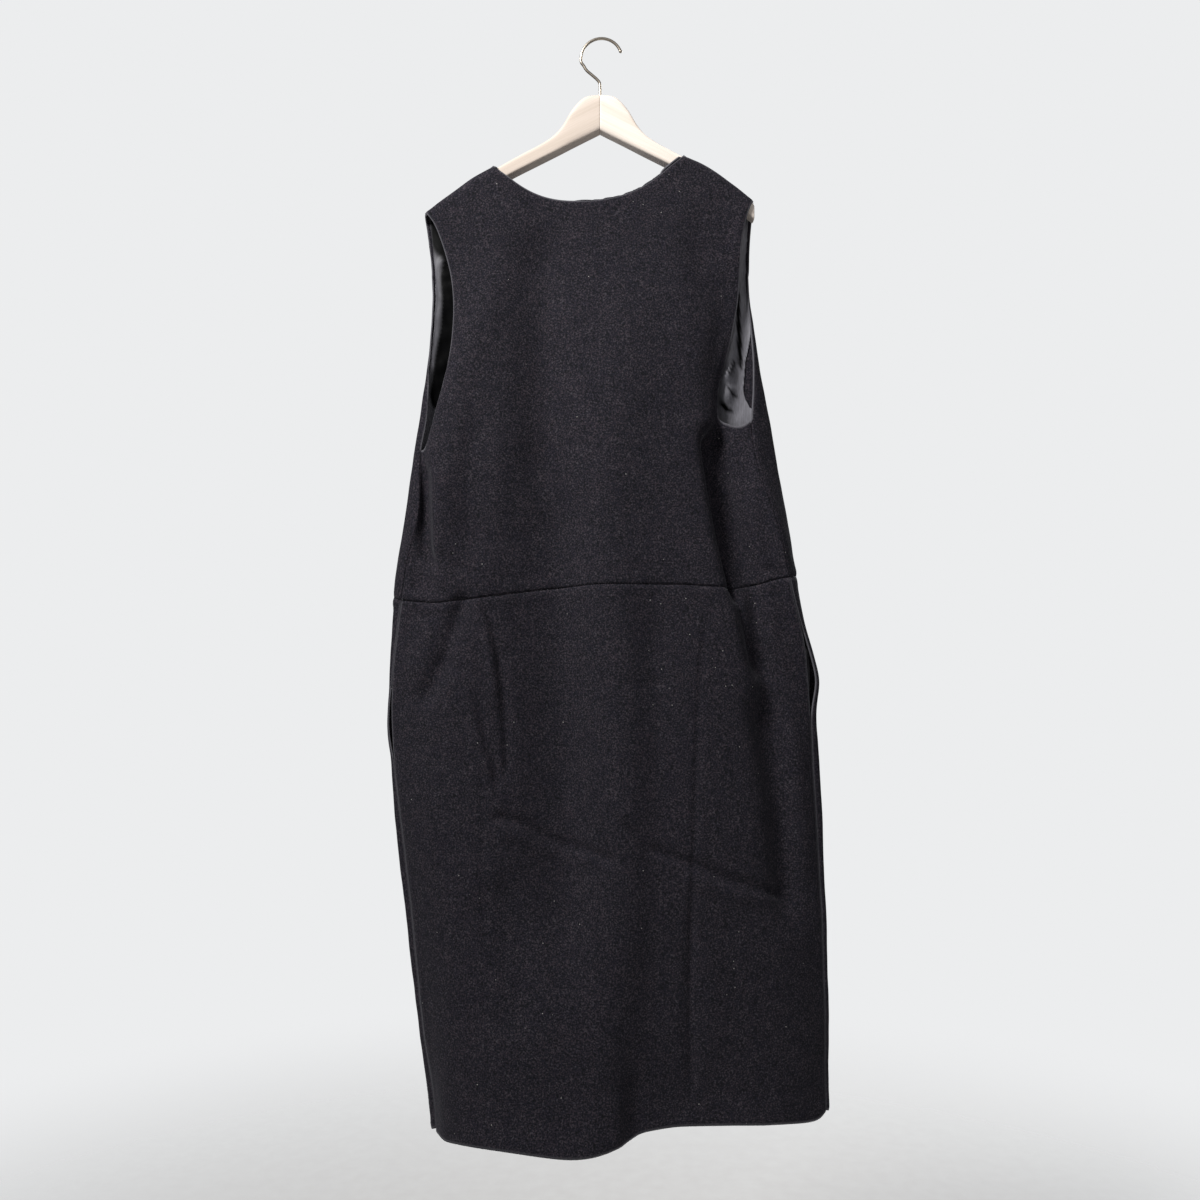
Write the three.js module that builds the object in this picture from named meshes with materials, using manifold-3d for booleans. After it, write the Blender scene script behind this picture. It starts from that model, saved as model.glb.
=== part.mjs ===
import * as THREE from 'three';
import { mergeVertices } from 'three/addons/utils/BufferGeometryUtils.js';
import Module from 'manifold-3d';

// A sleeveless wool pinafore dress on a wooden hanger, in millimetres, +Z up.
// The origin is under the top of the hook, where a rail or peg carries it.
// The dress's back faces -Y. Its front, with the deeper neckline, faces +Y.

// Walls and seams
const WOOL = 2;
const SATIN = 1;
const LAY_GAP = 0.4;
const LEAST_LAY_GAP = 0.24;
const SEAM_GAP = 0.3;
const SIDE_SEAM_GAP = 0.7;
const LINING_INSET = 2;
const LONGEST_PULL = 0.8;

// Widths and drops are sizes as they read in the plane of the hanger from one standpoint,
// this far in front of it and this far below the hook. A point that comes forward of that
// plane by "out" keeps its place in that view, so its true width and drop are worked out.
const STANDPOINT_DISTANCE = 1500;
const STANDPOINT_DROP = 700;

const nearer = (out) => (STANDPOINT_DISTANCE - out) / STANDPOINT_DISTANCE;
const trueDrop = (drop, out) => STANDPOINT_DROP + (drop - STANDPOINT_DROP) * nearer(out);
const readDrop = (drop, out) => STANDPOINT_DROP + (drop - STANDPOINT_DROP) / nearer(out);
const placed = (x, drop, out) => new THREE.Vector3(x * nearer(out), -out, -trueDrop(drop, out));

// Shoulders: the cloth's ridge runs over the hanger from neck point to shoulder tip
const NECK_LEFT = { x: -134, drop: 160 };
const NECK_RIGHT = { x: 105.6, drop: 146 };
const TIP_LEFT = { x: -219, drop: 219 };
const RIGHT_SHOULDER = { slope: 0.52, bend: 0.0018 };
const NECK_MIDDLE = (NECK_LEFT.x + NECK_RIGHT.x) / 2;
const SHOULDER_WRAP = 10;
const SHOULDER_SEAM_OUT = 0.65;

// Necklines: how far the scoop hangs below the line between the neck points, and its fullness.
// The shoulders and necklines are given at their true drops.
const BACK_SCOOP = { depth: 54.5, fullness: 2.6 };
const FRONT_SCOOP = { depth: 82, fullness: 2.2 };

// The level of the armholes' bottoms across the dress: [x, drop]
const UNDERARM = [
  [-226, 513], [-213, 513], [-100, 503], [60, 488], [146, 474],
  [156, 478], [170, 484], [178, 484], [184, 480], [188, 475],
];

// Levels at which a line of the cloth is found on the tables that run across the dress
const NEAR_UNDERARM = 490;
const NEAR_WAIST = 690;
const NEAR_HEM = 1370;

// The waist seam and the hem across the dress: [x, drop]
const WAIST = [
  [-258, 696], [-246, 701], [-206, 704], [-144, 696], [-76, 688], [-10, 680],
  [114, 681], [150, 684], [186, 683], [204, 681], [221, 674], [244, 671],
];
const HEM = [
  [-206, 1362], [-194, 1377], [-125, 1388], [-50, 1399], [-25, 1400], [0, 1395],
  [20, 1386], [40, 1369], [62, 1362], [100, 1356], [250, 1355], [269, 1352], [278, 1348], [284, 1338],
];
const FRONT_HEM = [[-206, 1361], [-186, 1352], [238, 1329], [284, 1338]];

// Side seams of the skirt and below the armholes: [drop, x, out]
const SEAM_LEFT = [
  [514, -225, 4], [560, -224, 14], [600, -226, 17], [625, -235, 18], [656, -242, 17], [700, -248, 12],
  [760, -256, 9], [845, -261, 4], [900, -257, 4], [1012, -244, 4], [1112, -233, 5], [1234, -221, 7],
  [1334, -206, 8], [1400, -203, 8],
];
const SEAM_RIGHT = [
  [475, 188, 14], [520, 194, 18], [574, 212, 24], [608, 224, 25], [645, 232, 24], [671, 237, 22],
  [700, 243, 20], [750, 256, 15], [829, 262, 9], [934, 267, 6], [1012, 272, 5], [1101, 277, 5],
  [1312, 282, 4], [1400, 284, 3],
];

// Back panel, bodice and skirt. A row is a level section; a column is a line down the cloth:
// left fold's valley (the armhole edge above), left fold, yoke, neck point, band, groove,
// centre, swell, neck point, lip, turn, right valley (the armhole edge above), side.
const BACK_TOP = [-219, -205, -172, -134, -105, -62, 0, 50, 105.6, 150, 176, 192, 192];
const BACK_SECTIONS = [
  { drop: 250,
    x: [-198, -190, -168, -135, -100, -60, 0, 52, 106, 145, 166, 176, 176],
    out: [15, 16, 18, 20, 21, 18, 20, 22, 22, 18, 15, 15, 15] },
  { drop: 330,
    x: [-182, -175, -160, -136, -98, -58, 0, 54, 106, 142, 162, 174, 174],
    out: [16, 21, 25, 27, 27, 22, 25, 27, 26, 20, 13, 10, 10] },
  { drop: 400,
    x: [-188, -180, -163, -137, -95, -57, 0, 55, 104, 135, 151, 160, 170],
    out: [17, 23, 29, 32, 31, 25, 29, 31, 30, 26, 17, 10, 12] },
  { drop: 470,
    x: [-207, -199, -174, -140, -94, -56, 0, 56, 101, 126, 138, 145, 168],
    out: [12, 23, 32, 36, 34, 28, 33, 35, 34, 31, 23, 8, 12] },
  { drop: 520,
    x: [-219, -211, -180, -142, -93, -54, 1, 57, 102, 132, 145, 153, 175],
    out: [10, 25, 34, 38, 36, 30, 36, 38, 37, 34, 25, 5, 13] },
  { drop: 600,
    x: [-219, -211, -182, -144, -91, -51, 3, 59, 107, 145, 157, 165, 194],
    out: [9, 30, 36, 40, 38, 32, 39, 41, 39, 37, 28, 4, 17] },
  { drop: 700,
    x: [-211, -196, -178, -146, -89, -48, 5, 62, 118, 170, 184, 192, 216],
    out: [25, 34, 39, 42, 40, 35, 43, 45, 43, 40, 30, 9, 17] },
  { drop: 800,
    x: [-243, -214, -185, -148, -93, -44, 7, 65, 124, 181, 197, 206, 231],
    out: [18, 32, 41, 46, 44, 38, 46, 48, 46, 42, 34, 17, 17] },
  { drop: 940,
    x: [-240, -214, -185, -148, -94, -42, 8, 66, 127, 196, 215, 231, 248],
    out: [18, 33, 43, 48, 48, 42, 50, 51, 48, 43, 35, 24, 18] },
  { drop: 1100,
    x: [-220, -200, -176, -143, -91, -39, 8, 66, 126, 200, 222, 241, 258],
    out: [21, 37, 48, 55, 57, 52, 57, 54, 48, 42, 36, 28, 19] },
  { drop: 1250,
    x: [-205, -189, -167, -138, -88, -37, 11, 50, 114, 184, 218, 245, 264],
    out: [27, 46, 58, 68, 72, 70, 73, 55, 45, 41, 37, 29, 18] },
  { drop: 1400,
    x: [-193, -178, -158, -132, -84, -32, 12, 42, 108, 176, 216, 246, 267],
    out: [37, 55, 68, 80, 86, 88, 84, 54, 42, 41, 37, 29, 18] },
];

// Front panel, bodice and skirt. Columns: left edge, roll, side, neck point, middle,
// neck point, side, roll, right edge. Negative "out" lies behind the hanger's plane.
const FRONT_TOP = [-219, -207, -172, -134, -14, 105.6, 150, 178, 192];
const FRONT_SECTIONS = [
  { drop: 250,
    x: [-214, -207, -175, -125, -8, 105, 150, 178, 187],
    out: [-15, -15, -15, -15, -15, -15, -15, -15, -15] },
  { drop: 330,
    x: [-208, -204, -178, -125, -5, 110, 158, 186, 185],
    out: [-6, -10, -15, -17, -16, -17, -15, -10, -3] },
  { drop: 400,
    x: [-214, -212, -185, -128, -4, 112, 165, 198, 192],
    out: [-3, -9, -16, -19, -16, -19, -16, -6, 6] },
  { drop: 470,
    x: [-214, -225, -196, -130, -3, 115, 174, 215, 191],
    out: [5, -4, -16, -20, -16, -20, -16, -4, 12] },
  { drop: 600,
    x: [-226, -246, -214, -135, -1, 120, 192, 236, 222],
    out: [17, 0, -16, -21, -17, -21, -16, -1, 25] },
  { drop: 700,
    x: [-248, -259, -228, -138, 0, 124, 206, 250, 243],
    out: [12, -1, -16, -21, -18, -22, -17, -1, 20] },
  { drop: 800,
    x: [-260, -261, -236, -140, 2, 128, 216, 263, 260],
    out: [6, -2, -17, -22, -18, -23, -17, -3, 11] },
  { drop: 940,
    x: [-254, -258, -234, -142, 4, 132, 226, 277, 267],
    out: [4, -3, -17, -22, -17, -23, -18, -3, 6] },
  { drop: 1120,
    x: [-232, -240, -216, -136, 8, 138, 232, 282, 278],
    out: [5, -4, -18, -23, -16, -25, -19, -4, 5] },
  { drop: 1280,
    x: [-214, -220, -198, -128, 12, 142, 236, 284, 281],
    out: [7, -4, -18, -24, -16, -26, -19, -5, 4] },
  { drop: 1400,
    x: [-203, -207, -186, -122, 14, 144, 238, 287, 284],
    out: [8, -4, -18, -24, -16, -26, -19, -5, 3] },
];

// Strips of cloth between neighbouring lines: a number for even strips, or the places of
// their edges at the neckline, which are evened out below it
const BACK_STRIPS = [2, 2, 2, 1, [0.06, 0.3, 1], 2, 2, 2, [0.45, 0.8, 0.97, 1], 2, 1, 2, 2, 2];
const FRONT_STRIPS = [2, 2, 1, [0.015, 0.08, 0.3, 0.62, 1], [0.38, 0.7, 0.92, 0.98, 1], 2, 2, 2];
const EVENED_OVER = 6;
const SHOULDER_ROWS = [0, 0.4, 1.5, 4, 9, 17];
const ARMHOLE_ROWS = 7;
const SIDE_ROWS = 7;
const SKIRT_ROWS = 20;

// Pocket mouths in the side seams gape where the front's edge stands away from the back's
const GAPE_ROLL = 0.85;
const GAPE_RIGHT = { top: 748, bottom: 831, x: 11, out: -6 };
const GAPE_LEFT = { top: 824, bottom: 872, x: -8, out: -5 };

// Pocket bags, each sewn from a back and a front piece: [x, top drop, bottom drop, middle y,
// half width], mouth first and sewn-up end last
const POCKET_WALL = 1;
const POCKET_SLANT = 0.6;
const POCKET_SEAM_FROM_MIDDLE = 0.65;
const POCKET_STRIPS = 8;
const POCKET_SQUARENESS = 2.6;
const POCKET_RIGHT = [
  [259.5, 758, 822, -5, 4], [251, 752, 828, -3, 5.5], [225, 728, 872, 0, 9], [190, 716, 908, 1, 9],
  [150, 716, 922, 2, 8], [122, 736, 912, 3, 6], [110, 760, 888, 3, 1.5],
];
const POCKET_LEFT = [
  [-259, 832, 864, 0, 3.2], [-250, 812, 872, 0, 5.2], [-225, 770, 900, 0, 8], [-190, 752, 934, 1, 8.5],
  [-150, 750, 948, 2, 8], [-122, 770, 938, 3, 6], [-110, 794, 914, 3, 1.5],
];

// Hanger: two arms that meet on the centre line, and the wire hook
const ARM_HALF_THICKNESS = 11.3;
const ARM_END = 191.7;
const ARM_BELOW_RIDGE = 4.1;
const ARM_JOINT_GAP = 0.3;
const ARM_SQUARENESS = 3.2;
const ARM_SIDES = 14;
const ARM_UNDERSIDE = { drop: 116.6, slope: 0.498, bend: 0.0019, bendsFrom: 100 };
const ARM_STATIONS = [8, 15, 21, 27, 32, 37, 42, 48, 56, 66, 78, 92, 108, 124, 140, 156, 170, 182, ARM_END];
const COLLAR = [
  [0, 71], [15, 72.5], [21, 75], [29, 82.5], [35, 90], [40, 97.5], [43, 105],
  [48, 112.5], [54, 120], [64, 127.5], [75, 134.3], [88, 141],
];

// Wire hook: an arc given in degrees from +X, a neck given as [x, drop], and a straight shank
const WIRE_RADIUS = 1.8;
const HOOK_CENTRE = { x: 1.9, drop: 23.8 };
const HOOK_RADIUS = 25.6;
const HOOK_ARC = { from: 22, to: 190, step: 14 };
const HOOK_NECK = [[-20.6, 32], [-17.2, 37.4], [-9.5, 44.3], [-3.2, 50], [-0.6, 53.6], [0, 58], [0, 78]];
const HOOK_STEPS = 52;
const SHANK_END = 98;
const BORE = { radius: 2.1, top: 39, bottom: 99 };

// Small helpers on tables
function straightAt(points, at) {
  const next = points.findIndex((p) => p[0] > at);
  if (next === 0) return points[0][1];
  if (next < 0) return points[points.length - 1][1];
  const [a, b] = [points[next - 1], points[next]];
  return a[1] + (b[1] - a[1]) * (at - a[0]) / (b[0] - a[0]);
}

// A curve through the rows of a table that doesn't overshoot them
function smoothAt(rows, at) {
  const last = rows.length - 1;
  if (at <= rows[0][0]) return rows[0].slice(1);
  if (at >= rows[last][0]) return rows[last].slice(1);
  const i = rows.findIndex((r) => r[0] > at) - 1;
  const span = rows[i + 1][0] - rows[i][0];
  const t = (at - rows[i][0]) / span;
  return rows[i].slice(1).map((value, c) => {
    const slope = (k) => (rows[k + 1][c + 1] - rows[k][c + 1]) / (rows[k + 1][0] - rows[k][0]);
    const tangent = (k) => {
      if (k === 0) return slope(0);
      if (k === last) return slope(last - 1);
      const [before, after] = [slope(k - 1), slope(k)];
      return before * after <= 0 ? 0 : 2 * before * after / (before + after);
    };
    const end = rows[i + 1][c + 1];
    const [h1, h2] = [t * t * (3 - 2 * t), t * (1 - t) * (1 - t)];
    return value * (1 - h1) + end * h1 + span * (tangent(i) * h2 - tangent(i + 1) * t * t * (1 - t));
  });
}

// A curve across the section through four neighbouring lines
function acrossAt(points, t) {
  const [a, b, c, d] = points;
  return b.map((value, k) => 0.5 * (2 * value + (c[k] - a[k]) * t
    + (2 * a[k] - 5 * b[k] + 4 * c[k] - d[k]) * t * t
    + (3 * b[k] - a[k] - 3 * c[k] + d[k]) * t * t * t));
}

// Edges of the dress
function ridgeDrop(x) {
  if (x < NECK_MIDDLE) {
    const slope = (TIP_LEFT.drop - NECK_LEFT.drop) / (TIP_LEFT.x - NECK_LEFT.x);
    return NECK_LEFT.drop + slope * (x - NECK_LEFT.x);
  }
  const run = x - NECK_RIGHT.x;
  return NECK_RIGHT.drop + RIGHT_SHOULDER.slope * run + RIGHT_SHOULDER.bend * run * Math.abs(run);
}

function topDrop(x, scoop) {
  if (x <= NECK_LEFT.x || x >= NECK_RIGHT.x) return ridgeDrop(x);
  const t = (x - NECK_MIDDLE) / (NECK_RIGHT.x - NECK_MIDDLE);
  const chord = (NECK_LEFT.drop + NECK_RIGHT.drop) / 2 + t * (NECK_RIGHT.drop - NECK_LEFT.drop) / 2;
  return chord + scoop.depth * (1 - Math.abs(t) ** scoop.fullness);
}

// How far open a pocket mouth is at a drop: most a little below its middle
const gapeAt = (gape, drop) => {
  const t = THREE.MathUtils.clamp((drop - gape.top) / (gape.bottom - gape.top), 0, 1);
  return Math.sin(Math.PI * t ** 1.4) ** 0.8;
};

// The lines down a panel, as tables of [drop, x, out]
function linesOf(sections, tops, scoop) {
  return tops.map((x, k) => [
    [topDrop(x, scoop), x, sections[0].out[k]],
    ...sections.map((s) => [s.drop, s.x[k], s.out[k]]),
  ]);
}

function backLines() {
  const lines = linesOf(BACK_SECTIONS, BACK_TOP, BACK_SCOOP);
  return [SEAM_LEFT, ...lines, SEAM_RIGHT];
}

function frontLines() {
  const lines = linesOf(FRONT_SECTIONS, FRONT_TOP, FRONT_SCOOP);
  const joined = (armhole, seam) => [...armhole.filter((row) => row[0] < seam[0][0] - 3), ...seam];
  const last = lines.length - 1;
  lines[0] = joined(lines[0], SEAM_LEFT);
  lines[last] = joined(lines[last], SEAM_RIGHT);
  return lines;
}

// Where a panel lies, as [x, out], at line number s (with a fraction between lines) and a drop
function panelAt(panel, s, drop) {
  const lines = panel.lines;
  const i = Math.min(Math.floor(s), lines.length - 2);
  const line = (k) => {
    const at = THREE.MathUtils.clamp(k, 0, lines.length - 1);
    const [x, out] = smoothAt(lines[at], drop);
    const gape = panel.gapes?.[at];
    const open = gape ? gapeAt(gape, drop) : 0;
    return [x + open * (gape?.x ?? 0), out + open * (gape?.out ?? 0)];
  };
  return acrossAt([line(i - 1), line(i), line(i + 1), line(i + 2)], s - i);
}

function facePoint(panel, s, drop) {
  const [x, out] = panelAt(panel, s, drop);
  return placed(x, drop, out);
}

// Near the shoulders the cloth rounds over the hanger up to the shoulder seam
function shoulderPoint(panel, s, drop) {
  const [x, full] = panelAt(panel, s, drop);
  const seam = SHOULDER_SEAM_OUT * panel.faces;
  let out = seam;
  for (let pass = 0; pass < 3; pass += 1) {
    const ridge = ridgeDrop(x * nearer(out));
    const below = THREE.MathUtils.clamp((drop - ridge) / SHOULDER_WRAP, 0, 1);
    out = seam + (full - seam) * Math.sqrt(1 - (1 - below) ** 2);
  }
  return new THREE.Vector3(x * nearer(out), -out, -drop);
}

const xOf = (panel, s, drop) => panelAt(panel, s, drop)[0];

// The line numbers of a panel's columns, at the top and where they are even
function columnsOf(strips) {
  const columns = [{ top: 0, even: 0 }];
  strips.forEach((strip, k) => {
    const count = strip.length ?? strip;
    for (let j = 1; j <= count; j += 1) {
      columns.push({ top: k + (strip.length ? strip[j - 1] : j / count), even: k + j / count });
    }
  });
  return columns;
}

// A panel's grid of middle points. Columns of the side pieces start at the underarm row.
function bodiceGrid(panel) {
  const underarmRow = SHOULDER_ROWS.length - 1 + ARMHOLE_ROWS;
  const sewn = SHOULDER_ROWS[SHOULDER_ROWS.length - 1];
  return panel.columns.map(({ top, even }) => {
    const isSide = even < panel.sides[0] || even > panel.sides[1];
    const underarm = straightAt(UNDERARM, xOf(panel, even, NEAR_UNDERARM));
    const waist = straightAt(WAIST, xOf(panel, even, NEAR_WAIST)) - SEAM_GAP / 2;
    const highest = topDrop(panel.topX(top), panel.scoop);
    const faceTop = readDrop(highest + sewn, panelAt(panel, top, highest + sewn)[1]);
    const point = (r) => {
      if (r < SHOULDER_ROWS.length) return shoulderPoint(panel, top, highest + SHOULDER_ROWS[r]);
      const armholeRow = r - SHOULDER_ROWS.length + 1;
      const s = THREE.MathUtils.lerp(top, even, Math.min(armholeRow / EVENED_OVER, 1));
      if (r < underarmRow) {
        return facePoint(panel, s, THREE.MathUtils.lerp(faceTop, underarm, armholeRow / ARMHOLE_ROWS));
      }
      return facePoint(panel, s, THREE.MathUtils.lerp(underarm, waist, (r - underarmRow) / SIDE_ROWS));
    };
    const column = [];
    for (let r = 0; r <= underarmRow + SIDE_ROWS; r += 1) {
      column.push(isSide && r < underarmRow ? null : point(r));
    }
    return column;
  });
}

function skirtGrid(panel) {
  return panel.columns.map(({ even: s }) => {
    const waist = straightAt(WAIST, xOf(panel, s, NEAR_WAIST)) + SEAM_GAP / 2;
    const hem = straightAt(panel.hem, xOf(panel, s, NEAR_HEM));
    const column = [];
    for (let r = 0; r <= SKIRT_ROWS; r += 1) {
      column.push(facePoint(panel, s, THREE.MathUtils.lerp(waist, hem, r / SKIRT_ROWS)));
    }
    return column;
  });
}

// Pulls the outer columns in by a distance, and the top row too, along the cloth
function pulledIn(grid, normals, sides, top) {
  const moved = grid.map((column) => column.map((p) => p && p.clone()));
  const turned = normals.map((column) => column.map((n) => n && n.clone()));
  const pull = (c, r, toC, toR, distance) => {
    const [from, to] = [grid[c][r], grid[toC][toR]];
    const share = Math.min(distance / from.distanceTo(to), LONGEST_PULL);
    moved[c][r].lerpVectors(from, to, share);
    turned[c][r].lerpVectors(normals[c][r], normals[toC][toR], share).normalize();
  };
  for (let r = 0; r < grid[0].length; r += 1) {
    const filled = grid.map((column, c) => (column[r] ? c : -1)).filter((c) => c >= 0);
    const [first, last] = [filled[0], filled[filled.length - 1]];
    pull(first, r, first + 1, r, sides);
    pull(last, r, last - 1, r, sides);
  }
  if (top > 0) {
    grid.forEach((column, c) => {
      const r = column.findIndex((p) => p);
      pull(c, r, c, r + 1, top);
    });
  }
  return [moved, turned];
}

// Cells whose four corners are filled, as rows of [c, r]
function cellsOf(grid) {
  const cells = [];
  for (let c = 0; c + 1 < grid.length; c += 1) {
    for (let r = 0; r + 1 < grid[c].length; r += 1) {
      if (grid[c][r] && grid[c + 1][r] && grid[c][r + 1] && grid[c + 1][r + 1]) cells.push([c, r]);
    }
  }
  return cells;
}

// Normals of the cloth at each grid point, towards the outside of the dress
function normalsOf(grid, faces) {
  const normals = grid.map((column) => column.map((p) => p && new THREE.Vector3()));
  const [along, down] = [new THREE.Vector3(), new THREE.Vector3()];
  for (const [c, r] of cellsOf(grid)) {
    along.subVectors(grid[c + 1][r + 1], grid[c][r]);
    down.subVectors(grid[c][r + 1], grid[c + 1][r]);
    const normal = new THREE.Vector3().crossVectors(down, along).normalize().multiplyScalar(faces);
    for (const [i, j] of [[c, r], [c + 1, r], [c, r + 1], [c + 1, r + 1]]) normals[i][j].add(normal);
  }
  normals.forEach((column) => column.forEach((n) => n && n.normalize()));
  return normals;
}

// Two panels share their normals where their edges are sewn together
function shareSeams(gridA, normalsA, gridB, normalsB) {
  for (const [cA, cB] of [[0, 0], [gridA.length - 1, gridB.length - 1]]) {
    gridA[cA].forEach((p, r) => {
      const q = gridB[cB][r];
      if (!p || !q || p.distanceTo(q) > 1) return;
      const shared = normalsA[cA][r].clone().add(normalsB[cB][r]).normalize();
      normalsA[cA][r].copy(shared);
      normalsB[cB][r].copy(shared);
    });
  }
}

// A closed wall between two distances from the grid, measured along the normals
function wall([grid, normals], inner, outer, faces) {
  const positions = [];
  const index = [];
  const number = grid.map((column) => column.map(() => -1));
  const put = (p, n, distance) => positions.push(...p.clone().addScaledVector(n, distance).toArray());
  grid.forEach((column, c) => column.forEach((p, r) => {
    if (!p) return;
    number[c][r] = positions.length / 3;
    put(p, normals[c][r], outer);
    put(p, normals[c][r], inner);
  }));
  const quad = (a, b, c, d) => {
    if (faces > 0) index.push(a, c, b, a, d, c);
    else index.push(a, b, c, a, c, d);
  };
  const isCell = new Set(cellsOf(grid).map(([c, r]) => `${c},${r}`));
  const has = (c, r) => isCell.has(`${c},${r}`);
  for (const key of isCell) {
    const [c, r] = key.split(',').map(Number);
    const [a, b, d, e] = [number[c][r], number[c + 1][r], number[c + 1][r + 1], number[c][r + 1]];
    quad(a, b, d, e);
    quad(a + 1, e + 1, d + 1, b + 1);
    if (!has(c, r - 1)) quad(b, a, a + 1, b + 1);
    if (!has(c + 1, r)) quad(d, b, b + 1, d + 1);
    if (!has(c, r + 1)) quad(e, d, d + 1, e + 1);
    if (!has(c - 1, r)) quad(a, e, e + 1, a + 1);
  }
  return geometryOf(positions, index);
}

function geometryOf(positions, index) {
  const geometry = new THREE.BufferGeometry();
  geometry.setAttribute('position', new THREE.Float32BufferAttribute(positions, 3));
  geometry.setIndex(index);
  geometry.computeVertexNormals();
  return geometry;
}

// Closed rings of points joined into a skin, with its two ends closed to their middles
function lofted(rings) {
  const [positions, index] = [rings.flat().flatMap((p) => p.toArray()), []];
  const size = rings[0].length;
  for (let k = 0; k + 1 < rings.length; k += 1) {
    for (let j = 0; j < size; j += 1) {
      const [a, b] = [k * size + j, k * size + (j + 1) % size];
      index.push(a, a + size, b, b, a + size, b + size);
    }
  }
  const cap = (ring, start, turned) => {
    const middle = ring.reduce((sum, p) => sum.add(p), new THREE.Vector3()).divideScalar(size);
    const centre = positions.length / 3;
    positions.push(...middle.toArray());
    for (let j = 0; j < size; j += 1) {
      const [a, b] = [start + j, start + (j + 1) % size];
      index.push(...(turned ? [centre, b, a] : [centre, a, b]));
    }
  };
  cap(rings[0], 0, false);
  cap(rings[rings.length - 1], (rings.length - 1) * size, true);
  return geometryOf(positions, index);
}

// A rounded upright ring at one place along x
function ovalRing(x, { top, bottom, y, half }, squareness, count) {
  const ring = [];
  const [middle, height] = [(top + bottom) / 2, (bottom - top) / 2];
  const bulge = (value) => Math.sign(value) * Math.abs(value) ** (2 / squareness);
  for (let j = 0; j < count; j += 1) {
    const angle = 2 * Math.PI * (j + 0.5) / count;
    const across = bulge(Math.cos(angle));
    const drop = middle - height * bulge(Math.sin(angle));
    ring.push(new THREE.Vector3(x, y + across * half, -drop));
  }
  return ring;
}

// One piece of a pocket bag: arcs from its upper to its lower seam, bulging out of the pocket
function pocketPiece(rows, faces) {
  const bulge = (value) => Math.sign(value) * Math.abs(value) ** (2 / POCKET_SQUARENESS);
  const mouth = rows[0][0];
  const leftToRight = [...rows].sort((a, b) => a[0] - b[0]);
  const grid = leftToRight.map(([x, top, bottom, y, half]) => {
    const [middle, height] = [(top + bottom) / 2, (bottom - top - POCKET_WALL) / 2];
    const deep = half - POCKET_WALL / 2 - POCKET_SEAM_FROM_MIDDLE;
    const column = [];
    for (let j = 0; j <= POCKET_STRIPS; j += 1) {
      const angle = Math.PI * (0.5 - j / POCKET_STRIPS);
      const across = -faces * (POCKET_SEAM_FROM_MIDDLE + deep * bulge(Math.cos(angle)));
      const slant = x === mouth ? Math.sign(x) * POCKET_SLANT * across : 0;
      column.push(new THREE.Vector3(x + slant, y + across, height * bulge(Math.sin(angle)) - middle));
    }
    return column;
  });
  return wall([grid, normalsOf(grid, faces)], -POCKET_WALL / 2, POCKET_WALL / 2, faces);
}

// Hanger
const armTop = (x) => {
  const [collarEnd] = COLLAR[COLLAR.length - 1];
  return x < collarEnd ? straightAt(COLLAR, x) : ridgeDrop(x) + ARM_BELOW_RIDGE;
};
const armBottom = (x) => {
  const { drop, slope, bend, bendsFrom } = ARM_UNDERSIDE;
  return drop + slope * x + bend * Math.max(x - bendsFrom, 0) ** 2;
};

function hangerArm(side, bore) {
  const stations = [ARM_JOINT_GAP / 2, ...ARM_STATIONS];
  const rings = stations.map((x) => {
    const oval = { top: armTop(x), bottom: armBottom(x), y: 0, half: ARM_HALF_THICKNESS };
    return ovalRing(side * x, oval, ARM_SQUARENESS, ARM_SIDES);
  });
  return cut(lofted(side > 0 ? rings.reverse() : rings), bore);
}

function hookPath() {
  const points = [];
  const put = (x, drop) => points.push(new THREE.Vector3(x, 0, -drop));
  for (let degrees = HOOK_ARC.from; degrees <= HOOK_ARC.to; degrees += HOOK_ARC.step) {
    const angle = THREE.MathUtils.degToRad(degrees);
    put(HOOK_CENTRE.x + HOOK_RADIUS * Math.cos(angle), HOOK_CENTRE.drop - HOOK_RADIUS * Math.sin(angle));
  }
  for (const [x, drop] of HOOK_NECK) put(x, drop);
  put(0, SHANK_END);
  return new THREE.CatmullRomCurve3(points);
}

function hook() {
  const section = new THREE.Shape();
  section.absarc(0, 0, WIRE_RADIUS, 0, 2 * Math.PI);
  return new THREE.ExtrudeGeometry(section, {
    steps: HOOK_STEPS, curveSegments: 5, extrudePath: hookPath(),
  });
}

// Cutting one closed solid from another
const wasm = await Module();
wasm.setup();

function solidOf(geometry) {
  const bare = geometry.clone();
  bare.deleteAttribute('normal');
  bare.deleteAttribute('uv');
  const merged = mergeVertices(bare, 1e-4);
  return new wasm.Manifold(new wasm.Mesh({
    numProp: 3,
    vertProperties: merged.attributes.position.array,
    triVerts: new Uint32Array(merged.index.array),
  }));
}

function cut(geometry, tool) {
  const mesh = solidOf(geometry).subtract(solidOf(tool)).getMesh();
  return geometryOf(Array.from(mesh.vertProperties), Array.from(mesh.triVerts));
}

function shankBore() {
  const bore = new THREE.CylinderGeometry(BORE.radius, BORE.radius, BORE.bottom - BORE.top, 12);
  return bore.rotateX(Math.PI / 2).translate(0, 0, -(BORE.top + BORE.bottom) / 2);
}

// Finishes
const wool = new THREE.MeshStandardMaterial({ color: 0x2b2a2f, roughness: 0.95, metalness: 0 });
const satin = new THREE.MeshStandardMaterial({ color: 0x605f65, roughness: 0.45, metalness: 0 });
const wood = new THREE.MeshStandardMaterial({ color: 0xeee2d8, roughness: 0.6, metalness: 0 });
const nickel = new THREE.MeshStandardMaterial({ color: 0xc8beb2, roughness: 0.35, metalness: 1 });

const dress = new THREE.Group();

function add(name, geometry, material) {
  const mesh = new THREE.Mesh(geometry, material.clone());
  mesh.name = name;
  dress.add(mesh);
}

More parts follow.
